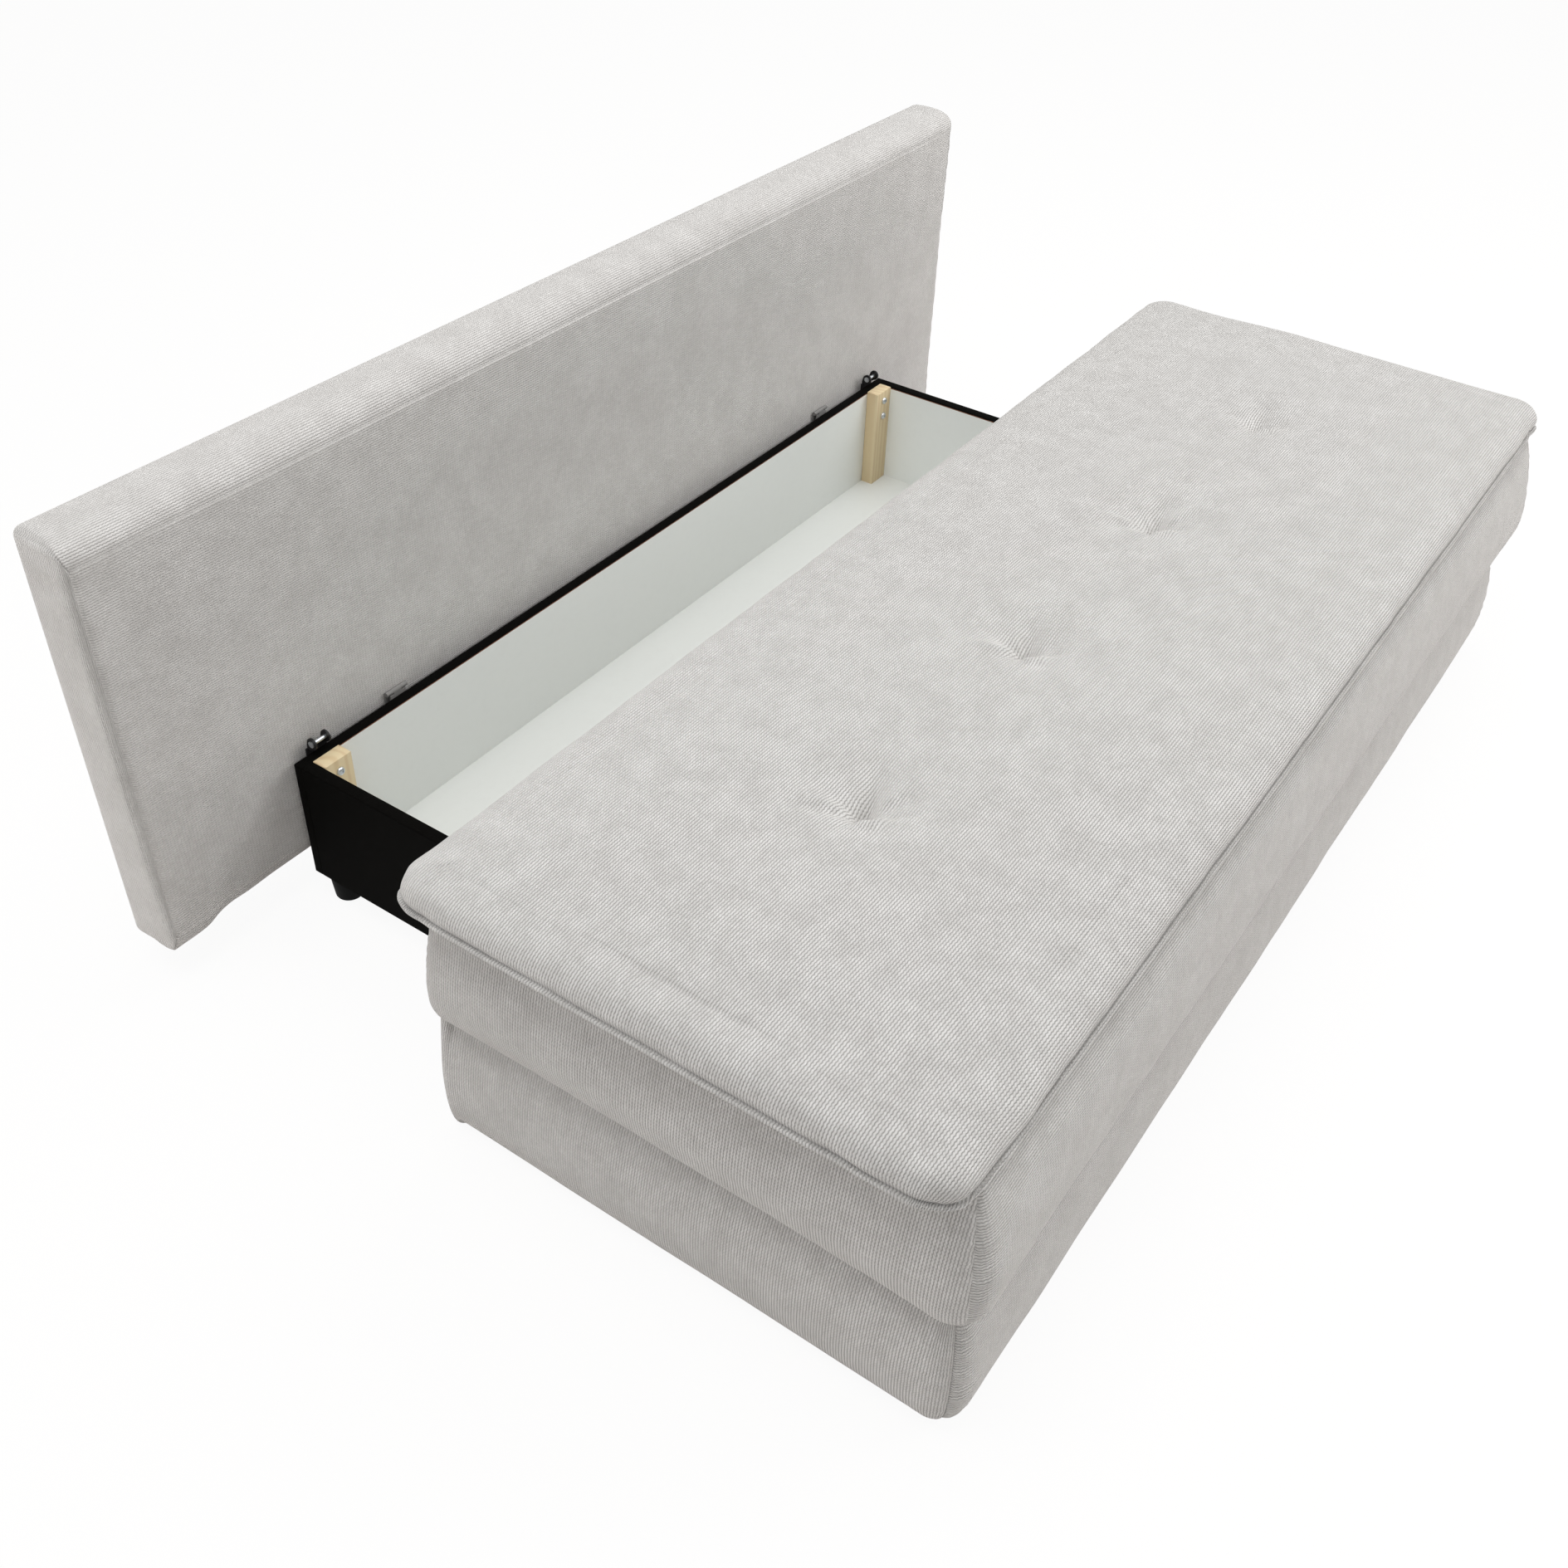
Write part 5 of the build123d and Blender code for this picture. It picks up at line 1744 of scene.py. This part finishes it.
@dataclass
class StorageBox:
    """Walls wrapped in black outside and over the rim, pale inside, with pine corner blocks and feet."""

    finishes: Finishes
    rim_radius: float = 0.0022
    wrap_lap: float = 0.0004
    edge_line: float = 0.0016
    block_width: float = 0.048
    block_depth: float = 0.025
    block_radius: float = 0.0011
    bolt_drops: tuple = (0.020, 0.052)
    foot_radius: float = 0.025

    def build(self) -> None:
        """Make the walls, blocks, bolts and feet."""
        inward = {
            "box_rear_wall": Vector((0, -1, 0)), "box_front_wall": Vector((0, 1, 0)),
            "box_left_wall": Vector((1, 0, 0)), "box_right_wall": Vector((-1, 0, 0)),
        }
        for node, way in inward.items():
            self.wall(node, way)
        self.corner_blocks()
        self.bolts()
        self.feet()

    def wall(self, node: str, way: Vector) -> None:
        """Make one wall.

        Args:
            node: The CAD node that it replaces.
            way: The direction of its inner face.
        """
        low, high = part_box(node)
        keep = [("z", -1)]
        if abs(way.x) > 0.5:
            keep += [("y", 1), ("y", -1)]
        made = bevelled_box(low, high, self.rim_radius, keep=tuple(keep))
        wrap_end = self.rim_radius + self.wrap_lap
        line_end = wrap_end + self.edge_line
        for drop in (wrap_end, line_end):
            cut = [*made.verts, *made.edges, *made.faces]
            bmesh.ops.bisect_plane(made, geom=cut, plane_co=(0, 0, high.z - drop), plane_no=(0, 0, 1))
        made.normal_update()
        for face in made.faces:
            drop = high.z - face.calc_center_median().z
            if face.normal.dot(way) > 0.9 and drop > wrap_end:
                face.material_index = 1 if drop > line_end else 2
        finishes = [self.finishes.wrap, self.finishes.lining, self.finishes.board_edge]
        piece = piece_from_bmesh(node.replace("_wall", "_panel"), made, finishes)
        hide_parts(node)
        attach(piece, "storage_box")

    def corner_blocks(self) -> None:
        """Make the pine blocks in the box's corners."""
        low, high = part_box("corner_blocks")
        size = Vector((self.block_width, self.block_depth, high.z - low.z))
        blocks = []
        for x in (low.x, high.x - size.x):
            for y in (low.y, high.y - size.y):
                corner = Vector((x, y, low.z))
                blocks.append(to_mesh("block", bevelled_box(corner, corner + size, self.block_radius, 2)))
        piece = piece_from_bmesh("pine_blocks", joined(blocks), [self.finishes.pine_up])
        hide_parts("corner_blocks")
        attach(piece, "storage_box")

    def bolts(self) -> None:
        """Make the pan-head bolts, with a hexagon socket each."""
        low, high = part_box("corner_blocks")
        x = high.x - self.block_width / 2
        faces = ((high.y - self.block_depth, math.pi / 2), (low.y + self.block_depth, -math.pi / 2))
        places, turns = [], []
        for side in (-1, 1):
            for drop in self.bolt_drops:
                for y, turn in faces:
                    places.append((side * x, y, high.z - drop))
                    turns.append(turn)
        socket = lathe([(0.0, 0.0030), (0.0027, 0.0030)], 6)
        profile = [(0.0030, 0.0045), (0.0045, 0.0043), (0.0058, 0.0034), (0.0065, 0.0018), (0.0065, 0.0)]
        bridge = lathe([(0.0030, 0.0045), (0.0027, 0.0045), (0.0027, 0.0030)], 32)
        head = to_mesh("bolt_head", joined([socket, lathe(profile, 32), bridge]))
        piece = scatter("zinc_bolts", head, places, turns, self.finishes.zinc)
        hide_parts("corner_bolts")
        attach(piece, "storage_box")

    def feet(self) -> None:
        """Make the tapered round feet."""
        low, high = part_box("feet")
        x, tall = high.x - self.foot_radius, high.z - low.z
        profile = [(0.0, 0.0), (0.0185, 0.0), (0.0202, 0.0006), (0.0210, 0.0022), (0.0245, tall - 0.003),
                   (self.foot_radius, tall - 0.0012), (0.0244, tall), (0.0, tall)]
        rows = (high.y - self.foot_radius, low.y + self.foot_radius)
        places = [(side * x, y, low.z) for side in (-1, 1) for y in rows]
        piece = scatter("round_feet", lathe(profile, 48), places, [0.0] * len(places), self.finishes.foot)
        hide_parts("feet")
        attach(piece, "storage_box")


def lathe(profile: list[tuple], segments: int) -> bpy.types.Mesh:
    """A turned shape about Z.

    Args:
        profile: Radius and height of each ring; a radius of 0 closes it.
        segments: How many faces go round.

    Returns:
        The mesh.
    """
    made = bmesh.new()
    rings = []
    for radius, height in profile:
        if radius == 0:
            rings.append([made.verts.new((0, 0, height))])
            continue
        rings.append([
            made.verts.new((radius * math.cos(a), radius * math.sin(a), height))
            for a in np.linspace(0, 2 * math.pi, segments, endpoint=False)
        ])
    for first, second in zip(rings, rings[1:]):
        for n in range(segments):
            m = (n + 1) % segments
            if len(first) == 1:
                made.faces.new((first[0], second[m], second[n]))
            elif len(second) == 1:
                made.faces.new((first[n], first[m], second[0]))
            else:
                made.faces.new((first[n], first[m], second[m], second[n]))
    shade(made)
    return to_mesh("turned", made)


def joined(meshes: list[bpy.types.Mesh]) -> bmesh.types.BMesh:
    """Join meshes into one bmesh and merge the points that they share.

    Args:
        meshes: The meshes, which are removed.

    Returns:
        The bmesh.
    """
    made = bmesh.new()
    for mesh in meshes:
        made.from_mesh(mesh)
        bpy.data.meshes.remove(mesh)
    bmesh.ops.remove_doubles(made, verts=made.verts, dist=TOUCH)
    return made


class CopyTree(Graph):
    """A Geometry Nodes tree that lays copies of a shape on points."""

    def __init__(self, name: str, inputs: dict[str, tuple]) -> None:
        """Start the tree with its named inputs.

        Args:
            name: The tree's name.
            inputs: Socket type and value of each input, by name.
        """
        super().__init__(bpy.data.node_groups.new(name, "GeometryNodeTree"))
        sockets = self.tree.interface
        sockets.new_socket("Geometry", in_out="INPUT", socket_type="NodeSocketGeometry")
        self.values = {}
        for label, (kind, value) in inputs.items():
            socket = sockets.new_socket(label, in_out="INPUT", socket_type=kind)
            self.values[socket.identifier] = value
        sockets.new_socket("Geometry", in_out="OUTPUT", socket_type="NodeSocketGeometry")
        self.given = self.node("NodeGroupInput").outputs

    def lay(self, copies: dict, material: bpy.types.Material) -> None:
        """Copy a shape to every point and turn the copies into real faces.

        Args:
            copies: The points, the shape, and its rotation and scale, by the node's input.
            material: The copies' material.
        """
        laid = self.node("GeometryNodeInstanceOnPoints", copies)
        real = self.node("GeometryNodeRealizeInstances", {"Geometry": laid.outputs[0]})
        painted = self.node("GeometryNodeSetMaterial", {"Geometry": real.outputs[0], "Material": material})
        self.node("NodeGroupOutput", {0: painted.outputs[0]})

    def plain_piece(self, name: str, holder: bpy.types.Object) -> bpy.types.Object:
        """Run the tree on an object and keep the result as a plain mesh object.

        Args:
            name: The new piece's name.
            holder: The object with the points, which is removed.

        Returns:
            The plain piece.
        """
        modifier = holder.modifiers.new("copies", "NODES")
        modifier.node_group = self.tree
        for identifier, value in self.values.items():
            modifier[identifier] = value
        shape = holder.evaluated_get(bpy.context.evaluated_depsgraph_get())
        mesh = bpy.data.meshes.new_from_object(shape)
        mesh.name = name
        bpy.data.objects.remove(holder)
        return add_object(name, mesh)


def scatter(name: str, shape: bpy.types.Mesh, places: list[tuple], turns: list[float],
            material: bpy.types.Material) -> bpy.types.Object:
    """Repeat a shape at places with Geometry Nodes, and keep the result as one plain mesh.

    Args:
        name: The new piece's name.
        shape: The mesh to repeat.
        places: Where each copy stands.
        turns: How far each copy is turned about X.
        material: The copies' material.

    Returns:
        The piece.
    """
    source = bpy.data.objects.new(f"{name}_shape", shape)
    cloud = bpy.data.meshes.new(f"{name}_places")
    cloud.from_pydata(places, [], [])
    cloud.attributes.new("turn", "FLOAT", "POINT").data.foreach_set("value", turns)
    holder = add_object(f"{name}_places", cloud)
    g = CopyTree(f"{name}_repeat", {
        "Shape": ("NodeSocketObject", source), "Size": ("NodeSocketFloat", 1.0),
    })
    info = g.node("GeometryNodeObjectInfo", {"Object": g.given["Shape"]})
    turn = g.node("GeometryNodeInputNamedAttribute", {"Name": "turn"}, data_type="FLOAT")
    angles = g.node("ShaderNodeCombineXYZ", {"X": turn.outputs["Attribute"]})
    g.lay({
        "Points": g.given["Geometry"], "Instance": info.outputs["Geometry"],
        "Rotation": angles.outputs[0], "Scale": g.given["Size"],
    }, material)
    piece = g.plain_piece(name, holder)
    bpy.data.objects.remove(source)
    return piece


def stitch_row(name: str, routes: list[np.ndarray], step: float,
               material: bpy.types.Material) -> bpy.types.Object:
    """Lay a row of short stitches along each route with Geometry Nodes, kept as one plain mesh.

    Args:
        name: The new piece's name.
        routes: The points of each row.
        step: From one stitch to the next.
        material: The thread.

    Returns:
        The piece.
    """
    curve = bpy.data.curves.new(f"{name}_route", "CURVE")
    curve.dimensions = "3D"
    for route in routes:
        spline = curve.splines.new("POLY")
        spline.points.add(len(route) - 1)
        spline.points.foreach_set("co", np.column_stack([route, np.ones(len(route))]).ravel())
    holder = add_object(f"{name}_route", curve)
    sizes = {"Step": step, "Length": step * STITCH_SHARE, "Radius": THREAD_RADIUS}
    g = CopyTree(f"{name}_rows", {label: ("NodeSocketFloat", size) for label, size in sizes.items()})
    path = {"Curve": g.given["Geometry"], "Length": g.given["Step"]}
    spots = g.node("GeometryNodeCurveToPoints", path, mode="LENGTH")
    ball = g.node("GeometryNodeMeshUVSphere", {"Segments": 6, "Rings": 4, "Radius": 0.5})
    wide = g.maths("MULTIPLY", g.given["Radius"], 2.0)
    size = g.node("ShaderNodeCombineXYZ", {"X": wide, "Y": wide, "Z": g.given["Length"]})
    g.lay({
        "Points": spots.outputs["Points"], "Instance": ball.outputs["Mesh"],
        "Rotation": spots.outputs["Rotation"], "Scale": size.outputs[0],
    }, material)
    return g.plain_piece(name, holder)


# Carried-over nodes


@dataclass
class CarriedNodes:
    """The CAD nodes whose shapes stay, each with a better finish."""

    finishes: Finishes

    def table(self) -> dict[str, bpy.types.Material]:
        """Which finish each node takes.

        Returns:
            The material of each node, by the node's name.
        """
        f = self.finishes
        groups = (
            (f.floor_board, ("box_floor",)),
            (f.pine_deep, ("floor_battens", "guide_runners", "deck_cross_rails", "seat_left_board",
                           "seat_right_board")),
            (f.pine_long, ("backrest_rails", "seat_front_board", "deck_rails", "stop_blocks")),
            (f.pine_up, ("backrest_stiles", "hinge_screw_blocks")),
            (f.plywood, ("seat_deck",)),
            (f.foam, ("mattress_core",)),
            (f.steel, ("catch_brackets", "strap_guides", "seat_hooks")),
            (f.grey_steel, ("lift_straps", "hinge_leaves", "hinge_pins")),
            (f.zinc, ("foot_screws", "catch_pins", "catch_screws", "guide_stop_pins", "guide_screws",
                      "hinge_screws", "castor_brackets", "castor_axles", "castor_screws")),
            (f.rubber, ("backrest_buffers", "closing_bumpers")),
            (f.wheel, ("wheel_rear_right", "wheel_rear_left", "wheel_front_right", "wheel_front_left")),
        )
        return {node: material for material, nodes in groups for node in nodes}

    def dress(self) -> None:
        """Give every carried-over node its finish."""
        for node, material in self.table().items():
            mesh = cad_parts[node].data
            mesh.materials.clear()
            mesh.materials.append(material)


# Studio


@dataclass(frozen=True)
class Lamp:
    """A square soft lamp, aimed at a point."""

    name: str
    place: tuple
    target: tuple
    size: float
    power: float

    def build(self) -> None:
        """Hang the lamp."""
        data = bpy.data.lights.new(self.name, "AREA")
        data.shape, data.size, data.energy = "SQUARE", self.size, self.power
        lamp = add_object(self.name, data)
        lamp.location = self.place
        aim = Vector(self.target) - Vector(self.place)
        lamp.rotation_euler = aim.to_track_quat("-Z", "Y").to_euler()


@dataclass(frozen=True)
class Studio:
    """A white floor and backdrop, soft light and the photograph's camera."""

    place: tuple = (-1.8255, -0.9546, 1.6751)
    yaw: float = 0.9925
    pitch: float = 0.6956
    roll: float = 0.0422
    lens: float = 37.01
    sensor: float = 36.0
    zenith: float = 0.70
    horizon: float = 0.0
    floor_half: float = 14.0
    floor_colour: tuple = rgb(0.95, 0.915, 0.89)
    floor_whiteness: float = 0.93

    # Above on the right, in front on the right, above on the left, and low behind on the left.
    lamps = (
        Lamp("top_lamp", (1.7, 0.0, 3.3), (0.2, -0.2, 0.3), 2.2, 33.0),
        Lamp("front_lamp", (3.3, -3.8, 2.6), (0.4, 0.0, 0.3), 2.6, 102.0),
        Lamp("side_lamp", (-1.5, 0.3, 4.4), (-0.4, 0.1, 0.35), 2.0, 64.0),
        Lamp("rear_lamp", (-3.2, 2.3, 0.9), (-1.0, 0.6, 0.4), 1.2, 15.0),
    )

    def camera(self) -> None:
        """Place the camera as it stood for the photograph."""
        data = bpy.data.cameras.new("photo_camera")
        data.lens, data.sensor_width = self.lens, self.sensor
        data.clip_start, data.clip_end = 0.05, 60.0
        camera = add_object("photo_camera", data)
        ahead = Vector((math.sin(self.yaw) * math.cos(self.pitch), math.cos(self.yaw) * math.cos(self.pitch),
                        -math.sin(self.pitch)))
        level = Vector((math.cos(self.yaw), -math.sin(self.yaw), 0))
        above = level.cross(ahead)
        right = math.cos(self.roll) * level + math.sin(self.roll) * above
        up = -math.sin(self.roll) * level + math.cos(self.roll) * above
        turn = Matrix((right, up, -ahead)).transposed().to_4x4()
        camera.matrix_world = Matrix.Translation(self.place) @ turn
        bpy.context.scene.camera = camera

    def world(self) -> None:
        """Light from all round, seen as white by the camera."""
        world = bpy.data.worlds.new("studio")
        world.use_nodes = True
        bpy.context.scene.world = world
        g, nodes = Graph(world.node_tree), world.node_tree.nodes
        way = g.node("ShaderNodeSeparateXYZ", {0: g.place("Generated")})
        glow = g.ramp(way.outputs[2], 0.0, 0.8, self.horizon, self.zenith)
        lit = nodes["Background"]
        g.fill(lit, {"Color": rgb(1, 1, 1), "Strength": glow})
        white = g.node("ShaderNodeBackground", {"Color": rgb(1, 1, 1), "Strength": 1.0})
        mix = g.node("ShaderNodeMixShader", {0: g.seen(), 1: lit.outputs[0], 2: white.outputs[0]})
        g.fill(nodes["World Output"], {0: mix.outputs[0]})

    def floor(self) -> None:
        """A wide pale floor that keeps a faint shadow."""
        made = bmesh.new()
        bmesh.ops.create_grid(made, x_segments=8, y_segments=8, size=self.floor_half)
        material, g, shader = start_material("studio_floor")
        g.fill(shader, {"Base Color": self.floor_colour, "Roughness": 0.9, "Specular IOR Level": 0.1})
        white = g.node("ShaderNodeEmission", {"Color": rgb(1, 1, 1), "Strength": 1.0})
        share = g.maths("MULTIPLY", g.seen(), self.floor_whiteness)
        mix = g.node("ShaderNodeMixShader", {0: share, 1: shader.outputs[0], 2: white.outputs[0]})
        g.fill(g.tree.nodes["Material Output"], {0: mix.outputs[0]})
        floor = piece_from_bmesh("studio_floor", made, [material])

    def build(self) -> None:
        """Set the whole studio up."""
        self.camera()
        self.world()
        self.floor()
        for lamp in self.lamps:
            lamp.build()
        bpy.context.scene.view_settings.view_transform = "Standard"


def main() -> None:
    """Build and dress the sofa bed, piece by piece."""
    logging.basicConfig(level=logging.INFO, format="%(message)s")
    Studio().build()
    finishes = Finishes()
    CarriedNodes(finishes).dress()
    StorageBox(finishes).build()
    LOG.info("storage box dressed")
    Topper(finishes, *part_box("topper_cover")).build()
    LOG.info("topper made")
    Mattress(finishes, *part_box("mattress_cover")).build()
    LOG.info("mattress layer made")
    BasePads(finishes).build()
    LOG.info("base pads made")
    Backrest(finishes, *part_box("backrest_cover")).build()
    LOG.info("backrest made")


if __name__ == "__main__":
    main()
